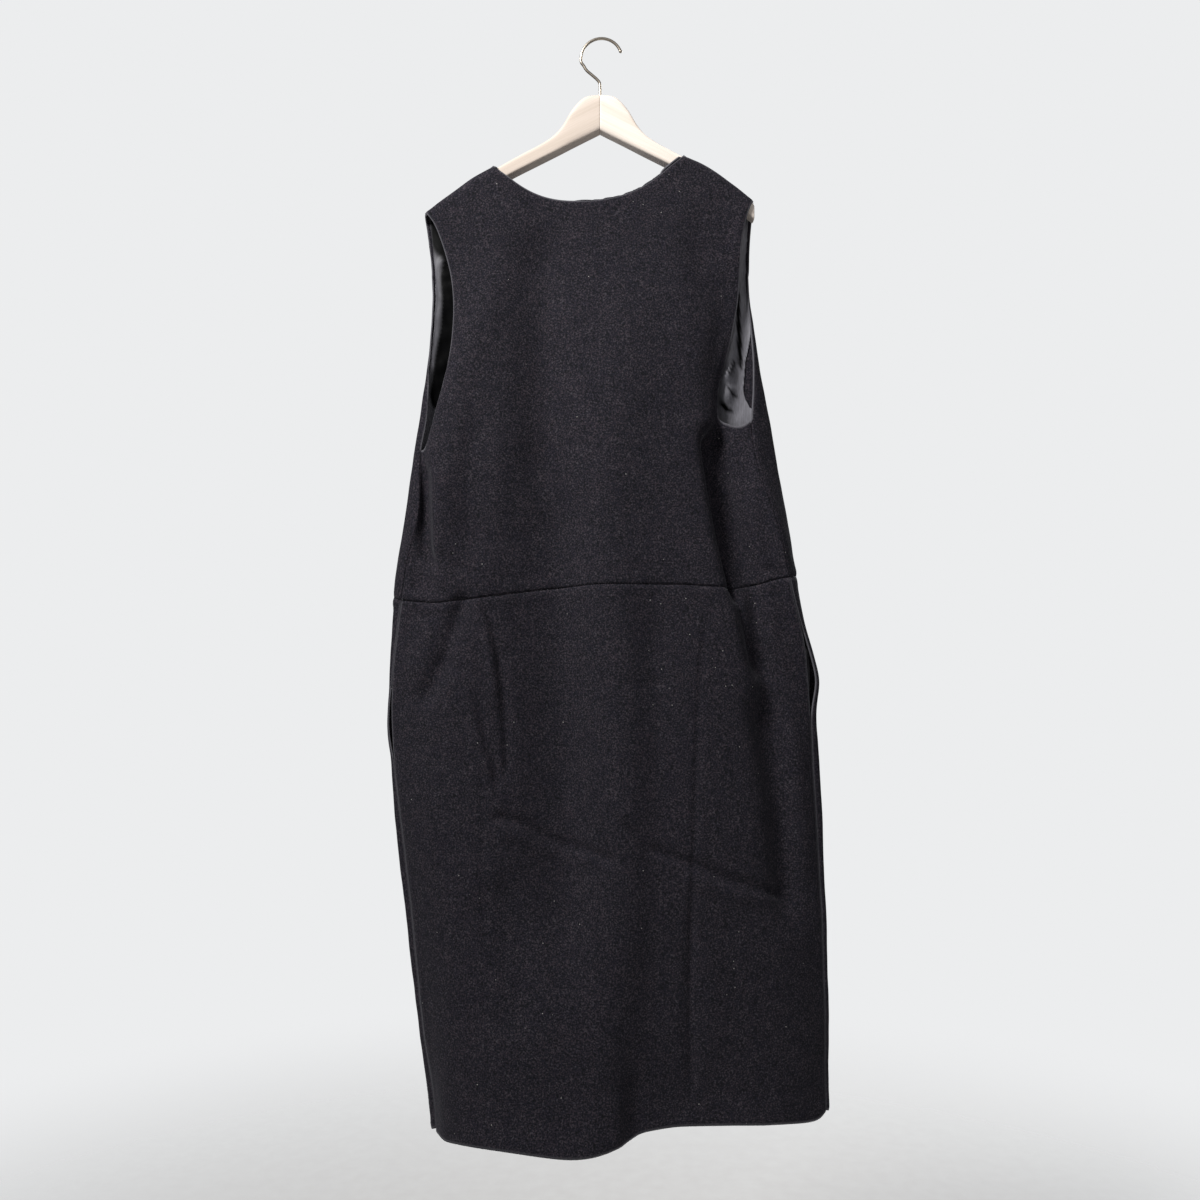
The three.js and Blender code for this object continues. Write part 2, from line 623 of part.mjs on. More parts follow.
function topLine(tops) {
  return (s) => {
    const i = Math.min(Math.floor(s), tops.length - 2);
    const at = (k) => [tops[THREE.MathUtils.clamp(k, 0, tops.length - 1)]];
    return acrossAt([at(i - 1), at(i), at(i + 1), at(i + 2)], s - i)[0];
  };
}

const back = {
  faces: 1,
  lines: backLines(),
  columns: columnsOf(BACK_STRIPS),
  sides: [1, BACK_TOP.length - 1],
  topX: (s) => topLine(BACK_TOP)(s - 1),
  scoop: BACK_SCOOP,
  hem: HEM,
};
const front = {
  faces: -1,
  lines: frontLines(),
  columns: columnsOf(FRONT_STRIPS),
  sides: [0, FRONT_TOP.length - 1],
  topX: topLine(FRONT_TOP),
  scoop: FRONT_SCOOP,
  hem: FRONT_HEM,
  gapes: {
    0: GAPE_LEFT,
    1: { ...GAPE_LEFT, x: GAPE_LEFT.x * GAPE_ROLL, out: 0 },
    [FRONT_TOP.length - 2]: { ...GAPE_RIGHT, x: GAPE_RIGHT.x * GAPE_ROLL, out: 0 },
    [FRONT_TOP.length - 1]: GAPE_RIGHT,
  },
};

// A panel's bodice, its lining laid inside it and cut clear of it, and its skirt
function addPanel(name, panel) {
  const { bodice, bodiceNormals, skirt, skirtNormals, faces } = panel;
  const sewn = pulledIn(bodice, bodiceNormals, SIDE_SEAM_GAP / 2, 0);
  add(`${name}_bodice`, wall(sewn, -WOOL / 2, WOOL / 2, faces), wool);
  const lay = -WOOL / 2 - LAY_GAP;
  const lining = wall(pulledIn(bodice, bodiceNormals, LINING_INSET, LINING_INSET), lay - SATIN, lay, faces);
  const clear = wall(sewn, -WOOL / 2 - LEAST_LAY_GAP, WOOL / 2, faces);
  add(`lining_${name}`, cut(lining, clear), satin);
  const sewnSkirt = pulledIn(skirt, skirtNormals, SIDE_SEAM_GAP / 2, 0);
  add(`${name}_skirt`, wall(sewnSkirt, -WOOL / 2, WOOL / 2, faces), wool);
}

for (const panel of [back, front]) {
  panel.bodice = bodiceGrid(panel);
  panel.bodiceNormals = normalsOf(panel.bodice, panel.faces);
  panel.skirt = skirtGrid(panel);
  panel.skirtNormals = normalsOf(panel.skirt, panel.faces);
}
shareSeams(back.bodice, back.bodiceNormals, front.bodice, front.bodiceNormals);
shareSeams(back.skirt, back.skirtNormals, front.skirt, front.skirtNormals);
addPanel('back', back);
addPanel('front', front);
for (const [side, rows] of [['right', POCKET_RIGHT], ['left', POCKET_LEFT]]) {
  add(`pocket_back_${side}`, pocketPiece(rows, 1), satin);
  add(`pocket_front_${side}`, pocketPiece(rows, -1), satin);
}
add('hanger_arm_right', hangerArm(1, shankBore()), wood);
add('hanger_arm_left', hangerArm(-1, shankBore()), wood);
add('hook', hook(), nickel);

export default dress;
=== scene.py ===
# %% [markdown]
# # A wool pinafore dress on a wooden hanger
# The dress is real cloth, sewn from a few panels, and it hangs from its shoulders.
# The imported model has each panel as a thin closed wall. Here each wall is copied, smoothed,
# creased and given the finish of its cloth, and the hanger gets its wood and wire.

# %% Load the frame
import math

import bmesh
import bpy
import numpy as np
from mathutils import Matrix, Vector, kdtree, noise


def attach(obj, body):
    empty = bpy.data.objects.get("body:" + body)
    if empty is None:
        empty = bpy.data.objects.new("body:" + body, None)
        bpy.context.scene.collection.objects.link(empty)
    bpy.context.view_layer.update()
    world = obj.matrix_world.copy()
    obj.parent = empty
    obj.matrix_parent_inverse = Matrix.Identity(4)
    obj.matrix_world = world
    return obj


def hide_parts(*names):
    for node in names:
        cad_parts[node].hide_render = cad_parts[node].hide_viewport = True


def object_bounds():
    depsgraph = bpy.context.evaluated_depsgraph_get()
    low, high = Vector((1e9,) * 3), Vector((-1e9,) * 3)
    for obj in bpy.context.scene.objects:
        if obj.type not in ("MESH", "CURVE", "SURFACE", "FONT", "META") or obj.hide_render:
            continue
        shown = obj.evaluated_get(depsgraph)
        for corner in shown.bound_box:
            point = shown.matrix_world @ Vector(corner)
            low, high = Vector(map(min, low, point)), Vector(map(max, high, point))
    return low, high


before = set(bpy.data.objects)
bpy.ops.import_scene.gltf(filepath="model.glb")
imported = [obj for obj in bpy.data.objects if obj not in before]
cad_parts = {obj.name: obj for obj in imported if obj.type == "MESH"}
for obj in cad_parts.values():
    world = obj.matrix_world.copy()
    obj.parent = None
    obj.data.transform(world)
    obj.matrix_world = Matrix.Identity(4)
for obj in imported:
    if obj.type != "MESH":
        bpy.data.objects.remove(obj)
cad_low, cad_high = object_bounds()
MM = 0.001
print("model from", [round(v, 3) for v in cad_low], "to", [round(v, 3) for v in cad_high])

# %% [markdown]
# ## The standpoint
# The dress is seen straight on, from one and a half metres, at the height of its waist.
# A fold that was read off a picture has its place in that view, so the camera's own place
# is also what turns a point of the cloth into a place "across" and a "drop" below the hook.

# %% Camera
STANDPOINT = Vector((0, -1.5, -0.7))
VIEW_WIDTH = 1.5
SENSOR = 36

camera_data = bpy.data.cameras.new("camera")
camera_data.sensor_width = SENSOR
camera_data.lens = SENSOR * -STANDPOINT.y / VIEW_WIDTH
camera = bpy.data.objects.new("camera", camera_data)
camera.location = STANDPOINT
camera.rotation_euler = (math.radians(90), 0, 0)
bpy.context.scene.collection.objects.link(camera)
bpy.context.scene.camera = camera


def as_seen(points):
    """Places in the hanger's plane, in mm: across to the right, and drop below the hook."""
    nearness = -STANDPOINT.y / (points[:, 1] - STANDPOINT.y)
    across = points[:, 0] * nearness
    drop = -(STANDPOINT.z + (points[:, 2] - STANDPOINT.z) * nearness)
    return np.stack([across, drop], axis=1) / MM


def as_measured(points):
    """The same two values read straight off the model, for the side that isn't seen."""
    return np.stack([points[:, 0], -points[:, 2]], axis=1) / MM


# %% [markdown]
# ## Colours and nodes
# A colour is given as the hex value that a picture editor shows, and one function turns it
# to the linear values that a shader needs. One more adds a node, sets it and links it.

# %% Helpers for materials
def linear(hex_colour):
    parts = [int(hex_colour[i:i + 2], 16) / 255 for i in (1, 3, 5)]
    return [c / 12.92 if c <= 0.04045 else ((c + 0.055) / 1.055) ** 2.4 for c in parts] + [1.0]


def add_node(tree, kind, inputs=None, **settings):
    node = tree.nodes.new(kind)
    for name, value in settings.items():
        setattr(node, name, value)
    for name, value in (inputs or {}).items():
        if isinstance(value, bpy.types.NodeSocket):
            tree.links.new(value, node.inputs[name])
        else:
            node.inputs[name].default_value = value
    return node


def new_material(name):
    material = bpy.data.materials.new(name)
    material.use_nodes = True
    tree = material.node_tree
    tree.nodes.clear()
    return material, tree


def set_ramp(node, stops):
    ramp = node.color_ramp
    while len(ramp.elements) < len(stops):
        ramp.elements.new(0.5)
    for element, (place, colour) in zip(ramp.elements, stops):
        element.position = place
        element.color = colour
    return node


def per_metre(size_mm):
    """The scale of a texture whose features are this many millimetres wide."""
    return 1 / (size_mm * MM)


# %% [markdown]
# ## Black wool melton
# Melton is a woven wool that is felted and cropped, so the weave is hidden under short
# matted fibres. It is nearly black, but dyed fibres of slightly different tone give it a
# heathered look: bluish, reddish and a few light ones, each only a millimetre or two long.
# The nap scatters light at grazing angles, which is the sheen. Some lint sits on it. Along
# free edges and the skirt's side seams the colour is lighter, partly rubbed fibres and partly painted highlight.

# %% Wool material
FIBRE_LENGTH_MM = 1.9
MOTTLE_MM = 15
LINT_SPACING_MM = 11
wool_black = linear("#0d0d10")
wool_dark = linear("#17171c")
wool_blue = linear("#1c1e29")
wool_red = linear("#2a2126")
wool_light = linear("#3d3c42")
# painted highlight with wear: the lighter colour along free edges and the skirt's side seams
wear_and_highlight_colour = linear("#79787e")
lint_colour = linear("#a9a6a2")


def wool_material():
    material, tree = new_material("wool_melton")
    place = add_node(tree, "ShaderNodeTexCoord").outputs["Object"]
    fibres = add_node(tree, "ShaderNodeTexNoise", {
        "Vector": place, "Scale": per_metre(FIBRE_LENGTH_MM), "Detail": 3.0, "Roughness": 0.62})
    heather = set_ramp(add_node(tree, "ShaderNodeValToRGB", {"Fac": fibres.outputs["Fac"]}), [
        (0.36, wool_black), (0.45, wool_dark), (0.50, wool_blue), (0.55, wool_red), (0.66, wool_light)])
    mottle = add_node(tree, "ShaderNodeTexNoise", {
        "Vector": place, "Scale": per_metre(MOTTLE_MM), "Detail": 3.0, "Roughness": 0.6})
    uneven = set_ramp(add_node(tree, "ShaderNodeValToRGB", {"Fac": mottle.outputs["Fac"]}), [
        (0.30, (0.78, 0.79, 0.86, 1)), (0.50, (1.0, 1.0, 1.0, 1)), (0.70, (1.25, 1.20, 1.18, 1))])
    tinted = add_node(tree, "ShaderNodeMix", {
        "Factor": 1.0, "A": heather.outputs["Color"], "B": uneven.outputs["Color"]},
        data_type="RGBA", blend_type="MULTIPLY")
    # painted highlight with wear, mixed in along free edges and the skirt's side seams
    wear_and_highlight = add_node(tree, "ShaderNodeAttribute", attribute_name="worn_and_highlit").outputs["Fac"]
    rubbed_and_highlit = add_node(tree, "ShaderNodeMix", {
        "Factor": wear_and_highlight, "A": tinted.outputs["Result"], "B": wear_and_highlight_colour}, data_type="RGBA")
    lint_cells = add_node(tree, "ShaderNodeTexVoronoi", {
        "Vector": place, "Scale": per_metre(LINT_SPACING_MM), "Randomness": 1.0})
    lint_shape = set_ramp(add_node(tree, "ShaderNodeValToRGB", {
        "Fac": lint_cells.outputs["Distance"]}), [(0.035, (1, 1, 1, 1)), (0.065, (0, 0, 0, 1))])
    lint_few = set_ramp(add_node(tree, "ShaderNodeValToRGB", {
        "Fac": lint_cells.outputs["Color"]}), [(0.74, (0, 0, 0, 1)), (0.80, (1, 1, 1, 1))])
    lint = add_node(tree, "ShaderNodeMath", {
        0: lint_shape.outputs["Color"], 1: lint_few.outputs["Color"]}, operation="MULTIPLY")
    colour = add_node(tree, "ShaderNodeMix", {
        "Factor": lint.outputs["Value"], "A": rubbed_and_highlit.outputs["Result"], "B": lint_colour},
        data_type="RGBA")
    nap = add_node(tree, "ShaderNodeBump", {
        "Height": fibres.outputs["Fac"], "Strength": 0.7, "Distance": 0.7 * MM})
    cloth = add_node(tree, "ShaderNodeBsdfPrincipled", {
        "Base Color": colour.outputs["Result"], "Normal": nap.outputs["Normal"],
        "Roughness": 0.92, "Specular IOR Level": 0.2, "Sheen Weight": 0.17,
        "Sheen Roughness": 0.35, "Sheen Tint": linear("#c3c4cc")})
    add_node(tree, "ShaderNodeOutputMaterial", {"Surface": cloth.outputs["BSDF"]})
    return material


wool = wool_material()

# %% [markdown]
# ## Grey-black satin
# The lining is a filament satin: long floats of smooth yarn lie on its face, so it is
# glossier than the wool and every small crumple shows as a light and a dark streak. Deep in
# the armholes, where shade falls, painted shade darkens it to near-black and dulls its gloss.

# %% Satin material
SLUB_MM = 1.2
# painted shade: the near-black laid on the lining where shade falls deep in the armholes
painted_shade_colour = linear("#070708")


def satin_material(name, dark, light):
    material, tree = new_material(name)
    place = add_node(tree, "ShaderNodeTexCoord").outputs["Object"]
    along = add_node(tree, "ShaderNodeMapping", {"Vector": place, "Scale": (1.0, 1.0, 0.12)})
    slubs = add_node(tree, "ShaderNodeTexNoise", {
        "Vector": along.outputs["Vector"], "Scale": per_metre(SLUB_MM), "Detail": 3.0})
    tone = set_ramp(add_node(tree, "ShaderNodeValToRGB", {"Fac": slubs.outputs["Fac"]}), [
        (0.3, linear(dark)), (0.7, linear(light))])
    # painted shade: toward near-black and duller gloss along the listed shade lines
    inner = add_node(tree, "ShaderNodeAttribute", attribute_name="painted_shade").outputs["Fac"]
    shaded = add_node(tree, "ShaderNodeMix", {
        "Factor": inner, "A": tone.outputs["Color"], "B": painted_shade_colour}, data_type="RGBA")
    gloss = add_node(tree, "ShaderNodeMapRange", {"Value": inner, "To Min": 0.5, "To Max": 0.05})
    weave = add_node(tree, "ShaderNodeBump", {
        "Height": slubs.outputs["Fac"], "Strength": 0.12, "Distance": 0.2 * MM})
    cloth = add_node(tree, "ShaderNodeBsdfPrincipled", {
        "Base Color": shaded.outputs["Result"], "Normal": weave.outputs["Normal"],
        "Roughness": 0.52, "Specular IOR Level": gloss.outputs["Result"]})
    add_node(tree, "ShaderNodeOutputMaterial", {"Surface": cloth.outputs["BSDF"]})
    return material


satin = satin_material("lining_satin", "#6a696f", "#83828a")
pocketing = satin_material("pocket_satin", "#2b2a2e", "#37363b")

# %% [markdown]
# ## From a wall to a skin
# A panel's wall has an outer face, an inner face and a narrow rim. The outer face alone is
# the best start for fine cloth: it can be smoothed and creased, and then gets its thickness
# again. To find it, a first face on the outside is taken, and its neighbours are added
# until an edge turns sharply away, which only the rim does.

# %% Skin of a panel
RIM_TURN = math.radians(60)
QUAD_TURN = math.radians(60)
CLOSE = 0.02 * MM


def outer_faces(bm, facing):
    """The faces joined to the one that lies furthest out, without crossing the rim."""
    outward = [f for f in bm.faces if f.normal.y * facing > 0.8]
    first = max(outward, key=lambda f: f.calc_center_median().y * facing)
    found, edge_of_search = {first}, [first]
    while edge_of_search:
        face = edge_of_search.pop()
        for edge in face.edges:
            if len(edge.link_faces) != 2 or edge.calc_face_angle_signed() > RIM_TURN:
                continue
            for other in edge.link_faces:
                if other not in found:
                    found.add(other)
                    edge_of_search.append(other)
    return found


def skin_of(node, facing):
    """A mesh of the panel's outer face, in four-sided faces where they pair up."""
    bm = bmesh.new()
    bm.from_mesh(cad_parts[node].data)
    bmesh.ops.remove_doubles(bm, verts=bm.verts, dist=CLOSE)
    kept = outer_faces(bm, facing)
    bmesh.ops.delete(bm, geom=[f for f in bm.faces if f not in kept], context="FACES")
    bmesh.ops.join_triangles(
        bm, faces=bm.faces, angle_face_threshold=QUAD_TURN, angle_shape_threshold=math.pi)
    threes = sum(len(f.verts) == 3 for f in bm.faces)
    print(f"{node}: {len(bm.faces)} faces on its outside, {threes} of them three-sided")
    mesh = bpy.data.meshes.new(node)
    bm.to_mesh(mesh)
    bm.free()
    return mesh


def smoothed(mesh, levels):
    """The mesh after Subdivision Surface, which rounds the facets and keeps the corners."""
    piece = bpy.data.objects.new("smoothing", mesh)
    bpy.context.scene.collection.objects.link(piece)
    rounding = piece.modifiers.new("smooth", "SUBSURF")
    rounding.levels = rounding.render_levels = levels
    rounding.boundary_smooth = "PRESERVE_CORNERS"
    finished = piece.evaluated_get(bpy.context.evaluated_depsgraph_get())
    result = bpy.data.meshes.new_from_object(finished)
    bpy.data.objects.remove(piece)
    return result


def arrays_of(mesh):
    """The mesh's points and their normals, a row for each."""
    points = np.zeros(len(mesh.vertices) * 3)
    normals = np.zeros(len(mesh.vertices) * 3)
    mesh.vertices.foreach_get("co", points)
    mesh.vertex_normals.foreach_get("vector", normals)
    return points.reshape(-1, 3), normals.reshape(-1, 3)


def rim_of(mesh):
    """The numbers of the points along the open edges of the cloth."""
    uses = {}
    for polygon in mesh.polygons:
        for key in polygon.edge_keys:
            uses[key] = uses.get(key, 0) + 1
    return sorted({v for key, count in uses.items() if count == 1 for v in key})


def tree_of(points, chosen):
    """A search tree over the chosen points, which gives back their numbers."""
    tree = kdtree.KDTree(len(chosen))
    for v in chosen:
        tree.insert(points[v], v)
    tree.balance()
    return tree


# %% [markdown]
# ## Folds pressed in
# A fold is a line on the cloth with a height along it, up for a ridge and down for a
# trough. Its two flanks may be of different width, because a fold in thick wool often has a
# soft side and a steep one. It fades out at its ends. Every fold has its own length,
# height and width, as it has on the real dress.

# %% Pressing folds into a skin
def smooth_step(t):
    t = np.clip(t, 0, 1)
    return t * t * (3 - 2 * t)


def place_on(line, places):
    """For each place, how far along the line it is, from 0 to 1, and how far aside."""
    line = np.array(line, float)
    lengths = np.linalg.norm(np.diff(line, axis=0), axis=1)
    starts = np.concatenate([[0], np.cumsum(lengths)])
    best = np.full(len(places), np.inf)
    along, aside = np.zeros(len(places)), np.zeros(len(places))
    for k, length in enumerate(lengths):
        way = (line[k + 1] - line[k]) / length
        offset = places - line[k]
        t = np.clip(offset @ way, 0, length)
        away = offset - t[:, None] * way
        distance = np.linalg.norm(away, axis=1)
        side = np.sign(way[0] * away[:, 1] - way[1] * away[:, 0])
        nearer = distance < best
        best = np.where(nearer, distance, best)
        aside = np.where(nearer, distance * side, aside)
        along = np.where(nearer, (starts[k] + t) / starts[-1], along)
    return along, aside


def pressed(places, folds):
    """The height in mm that the folds give each place on the cloth."""
    height = np.zeros(len(places))
    for tall, left, right, fade, line in folds:
        along, aside = place_on(line, places)
        flank = np.where(aside > 0, left, right)
        ends = smooth_step(along / fade) * smooth_step((1 - along) / fade)
        height += tall * np.exp(-(aside / flank) ** 2) * ends
    return height


def unevenness(points, size_mm, seed):
    """Soft random waviness from -1 to 1, with features of this size."""
    shift = Vector((seed, seed, seed))
    scale = per_metre(size_mm)
    return np.array([noise.noise(Vector(p) * scale + shift) for p in points])


# %% [markdown]
# ## Folds that show
# Each row is one fold: height in mm, width of its left and right flank in mm, the share of
# its length over which it fades, and its line as places across and below the hook in mm.
# Left and right are as one walks down the line and looks back at the dress from the front.

# %% Table of the folds on the side that shows
SEEN_FOLDS = [
    # the deep fold below the right armhole, and the trough it runs out in
    (-23.0, 15, 9, 0.14, [(141, 474), (146, 520), (153, 566), (161, 612), (170, 655), (178, 690), (183, 708)]),
    (-11.0, 12, 8, 0.28, [(172, 664), (182, 706), (192, 750), (202, 790), (214, 812)]),
    (4.0, 14, 9, 0.20, [(186, 540), (194, 600), (204, 660), (213, 720), (220, 770)]),
    (-3.0, 6, 5, 0.30, [(190, 736), (206, 776), (226, 810)]),
    (3.6, 5, 6, 0.35, [(204, 736), (220, 762), (236, 790)]),
    (-15.0, 22, 17, 0.20, [(196, 790), (212, 860), (228, 960), (238, 1060), (242, 1130)]),
    (3.4, 11, 14, 0.25, [(228, 810), (242, 880), (252, 980), (258, 1090)]),
    (-2.0, 6, 8, 0.30, [(192, 668), (214, 664), (238, 668)]),
    # the fold below the left armhole
    (-4.5, 8, 7, 0.15, [(-219, 520), (-218, 587), (-216, 640), (-208, 672)]),
    (3.4, 9, 14, 0.20, [(-201, 520), (-200, 590), (-205, 650)]),
    (3.4, 18, 22, 0.30, [(-120, 250), (-140, 335), (-172, 410), (-205, 490)]),
    (-6.0, 16, 26, 0.25, [(-150, 440), (-164, 520), (-164, 600), (-156, 670)]),
    # puckers above the left end of the waist seam
    (-2.6, 6, 9, 0.35, [(-204, 636), (-184, 660), (-166, 688)]),
    (2.4, 8, 7, 0.35, [(-236, 654), (-212, 662), (-190, 690)]),
    (-1.8, 5, 6, 0.35, [(-192, 652), (-176, 660), (-150, 668)]),
    (2.2, 9, 8, 0.35, [(-250, 690), (-226, 700), (-206, 722)]),
    # soft trough, ridges and wrinkles to the left pocket
    (-8.5, 12, 13, 0.18, [(-158, 676), (-181, 720), (-196, 769), (-217, 818), (-240, 838)]),
    (2.8, 12, 12, 0.25, [(-214, 716), (-222, 760), (-240, 800)]),
    (4.2, 9, 7, 0.20, [(-190, 776), (-168, 806), (-156, 850), (-143, 900), (-134, 938)]),
    (-3.6, 6, 8, 0.15, [(-208, 764), (-178, 790), (-160, 826), (-146, 871), (-133, 916), (-125, 948)]),
    (3.6, 12, 8, 0.25, [(-156, 700), (-143, 740), (-135, 790), (-130, 850)]),
    (-3.4, 5, 8, 0.15, [(-155, 680), (-141, 720), (-128, 764), (-121, 827), (-118, 889), (-118, 943)]),
    (-2.2, 5, 6, 0.35, [(-212, 768), (-200, 786), (-190, 812)]),
    # marks of folding, from when the dress was put away
    (-5.0, 4, 9, 0.12, [(-144, 974), (-120, 976), (-96, 984), (-70, 1001), (-48, 1009), (-8, 1019), (29, 1032)]),
    (2.6, 8, 10, 0.20, [(-140, 992), (-104, 998), (-72, 1014), (-44, 1022)]),
    (-5.0, 4, 9, 0.12, [(20, 968), (60, 1014), (109, 1030), (154, 1050), (199, 1064), (248, 1078)]),
    (3.0, 8, 10, 0.20, [(96, 1042), (150, 1064), (196, 1078)]),
    (-2.0, 4, 5, 0.12, [(138, 690), (126, 782), (122, 871), (118, 1005), (115, 1095), (115, 1229),
                        (117, 1345)]),
    (-3.0, 9, 5, 0.20, [(116, 1060), (113, 1180), (113, 1290), (116, 1352)]),
    (2.6, 12, 18, 0.25, [(134, 1110), (140, 1215), (138, 1300)]),
    (-1.2, 6, 7, 0.20, [(-148, 655), (-149, 800), (-148, 1000), (-147, 1219)]),
    (-1.0, 5, 6, 0.25, [(-26, 810), (36, 806), (90, 808)]),
    # broad waves of the hanging cloth
    (-11.0, 38, 26, 0.22, [(-76, 210), (-74, 400), (-70, 590)]),
    (-19.0, 84, 36, 0.20, [(-66, 470), (-62, 625), (-54, 760), (-52, 900), (-50, 1060), (-60, 1240)]),
    (8.0, 46, 42, 0.20, [(34, 246), (12, 559), (14, 693), (32, 871), (42, 1005), (56, 1229)]),
    (-6.0, 24, 22, 0.25, [(104, 200), (134, 290), (160, 345), (146, 420), (132, 480)]),
    (2.4, 12, 10, 0.30, [(160, 190), (172, 230), (176, 290)]),
    (-6.5, 26, 26, 0.18, [(66, 640), (70, 860), (64, 1100), (70, 1280)]),
    (-6.0, 30, 28, 0.20, [(-128, 1030), (-112, 1130), (-100, 1260)]),
    (4.0, 34, 30, 0.12, [(-200, 1376), (-60, 1398), (60, 1380), (140, 1362), (250, 1352)]),
    # the turned-up hem presses through, and the hem swings out and back
    (-0.9, 3, 6, 0.15, [(120, 1316), (180, 1318), (232, 1317), (274, 1312)]),
    (-0.6, 3, 6, 0.15, [(-196, 1326), (-110, 1330), (-30, 1322), (60, 1318)]),
    (2.4, 8, 7, 0.20, [(20, 1318), (22, 1350), (20, 1390)]),
    (-2.6, 12, 10, 0.20, [(46, 1290), (44, 1330), (42, 1372)]),
]

# %% [markdown]
# ## Folds on the side that isn't seen
# The front hangs behind the back and can't be seen here, so its folds are guessed. They
# follow the same habits: a pull below each armhole, long soft waves down the skirt, and
# marks of folding where the back has them too. They are read straight off the model.

# %% Table of the folds on the other side
UNSEEN_FOLDS = [
    (-4.0, 16, 22, 0.25, [(-176, 420), (-188, 500), (-196, 600), (-204, 700)]),
    (3.0, 16, 14, 0.25, [(-140, 360), (-160, 450), (-170, 560)]),
    (-3.6, 18, 14, 0.25, [(150, 400), (166, 500), (176, 610), (190, 720)]),
    (2.8, 12, 18, 0.25, [(120, 330), (138, 430), (146, 540)]),
    (-4.5, 22, 26, 0.20, [(-92, 640), (-96, 800), (-88, 1000), (-84, 1330)]),
    (4.0, 24, 20, 0.20, [(-30, 700), (-34, 900), (-26, 1120), (-20, 1340)]),
    (-5.0, 26, 20, 0.20, [(44, 620), (50, 800), (58, 1050), (62, 1335)]),
    (4.2, 20, 26, 0.20, [(108, 720), (116, 900), (128, 1150), (132, 1335)]),
    (-3.8, 20, 20, 0.20, [(170, 760), (182, 940), (196, 1150), (200, 1330)]),
    (-3.4, 16, 18, 0.20, [(-168, 760), (-172, 930), (-156, 1130), (-150, 1345)]),
    (-1.7, 5, 9, 0.15, [(-190, 1010), (-120, 1000), (-60, 1016), (0, 1008), (70, 1022)]),
    (-1.5, 6, 8, 0.20, [(90, 1030), (150, 1020), (222, 1040)]),
    (-1.4, 5, 8, 0.15, [(-8, 250), (-6, 420), (-2, 640), (2, 900), (6, 1200)]),
    (-1.6, 7, 6, 0.30, [(-214, 640), (-190, 664), (-160, 672)]),
    (-1.4, 6, 8, 0.30, [(222, 630), (200, 650), (168, 668)]),
    (1.6, 12, 12, 0.30, [(-60, 300), (-20, 322), (30, 318)]),
]

# %% [markdown]
# ## Sewing the panels
# The edges of the panels are what makes them look sewn. At a seam the cloth dips into the
# stitched line, and beside it rides up on the pressed-open turnings. A free edge, such as
# the neck or an armhole, is bagged out with its lining and rolls over. Along the waist
# the thick turnings pull in small puckers.

# %% Skins of the four panels
BACK, FRONT = -1, 1
SMOOTH_LEVELS = 3
NECK_POINTS = [Vector((-0.134, 0, -0.160)), Vector((0.1056, 0, -0.146))]
RELAX_REACH, RELAX_TIMES, RELAX_STEP = 28 * MM, 16, 0.5
SEAM_REACH = 2.2 * MM


def from_neck_points(place):
    return min(math.hypot(place.x - p.x, place.z - p.z) for p in NECK_POINTS)


def relaxed(mesh):
    """The mesh with the cloth and its edges eased round the two neck points, except those."""
    bm = bmesh.new()
    bm.from_mesh(mesh)
    near = [v for v in bm.verts if from_neck_points(v.co) < RELAX_REACH]
    inner = [v for v in near if not v.is_boundary]
    edge = [v for v in near if v.is_boundary]
    corners = {min(edge, key=lambda v: (v.co - p).length) for p in NECK_POINTS} if edge else set()
    for _ in range(RELAX_TIMES):
        bmesh.ops.smooth_vert(bm, verts=inner, factor=RELAX_STEP,
                              use_axis_x=True, use_axis_y=True, use_axis_z=True)
        places = {}
        for v in edge:
            beside = [e.other_vert(v).co for e in v.link_edges if e.is_boundary]
            if v not in corners and len(beside) == 2:
                places[v] = v.co.lerp((beside[0] + beside[1]) / 2, RELAX_STEP)
        for v, place in places.items():
            v.co = place
    bm.to_mesh(mesh)
    bm.free()
    return mesh


def plain_skin(node, facing):
    mesh = relaxed(smoothed(skin_of(node, facing), SMOOTH_LEVELS))
    points, normals = arrays_of(mesh)
    rim = rim_of(mesh)
    return {"mesh": mesh, "flat": points, "flat_normals": normals, "rim": rim,
            "tree": tree_of(points, rim)}


skins = {
    "back_bodice": plain_skin("back_bodice", BACK),
    "back_skirt": plain_skin("back_skirt", BACK),
    "front_bodice": plain_skin("front_bodice", FRONT),
    "front_skirt": plain_skin("front_skirt", FRONT),
}


def partners_of(name):
    """For each rim point that is sewn to another panel: that panel, and its nearest point."""
    partners = {}
    for v in skins[name]["rim"]:
        found = [(*skins[other]["tree"].find(skins[name]["flat"][v])[1:], other)
                 for other in skins if other != name]
        near, distance, other = min(found, key=lambda item: item[1])
        if distance < SEAM_REACH:
            partners[v] = (other, near)
    return partners


def distances(points, chosen):
    """How far each point is from the nearest of the chosen ones, in mm."""
    tree = tree_of(points, chosen)
    return np.array([tree.find(p)[2] for p in points]) / MM


WAIST = {"back_bodice": "back_skirt", "back_skirt": "back_bodice",
         "front_bodice": "front_skirt", "front_skirt": "front_bodice"}
for name, skin in skins.items():
    skin["sewn"] = partners_of(name)
    skin["free"] = [v for v in skin["rim"] if v not in skin["sewn"]]
    waist = [v for v, (other, near) in skin["sewn"].items() if other == WAIST[name]]
    skin["to_rim"] = distances(skin["flat"], skin["rim"])
    skin["to_free"] = distances(skin["flat"], skin["free"])
    skin["to_waist"] = distances(skin["flat"], waist)
    print(f"{name}: {len(skin['sewn'])} of {len(skin['rim'])} rim points are sewn")

# %% [markdown]
# ## Pressing it all in
# The heights of the folds, of the sewn edges and of a little general waviness are added up
# for each point, and the point moves that far out of the plain skin. Round the two ends of
# the neck the cloth settles a little, as it lies softly on the round wood there.

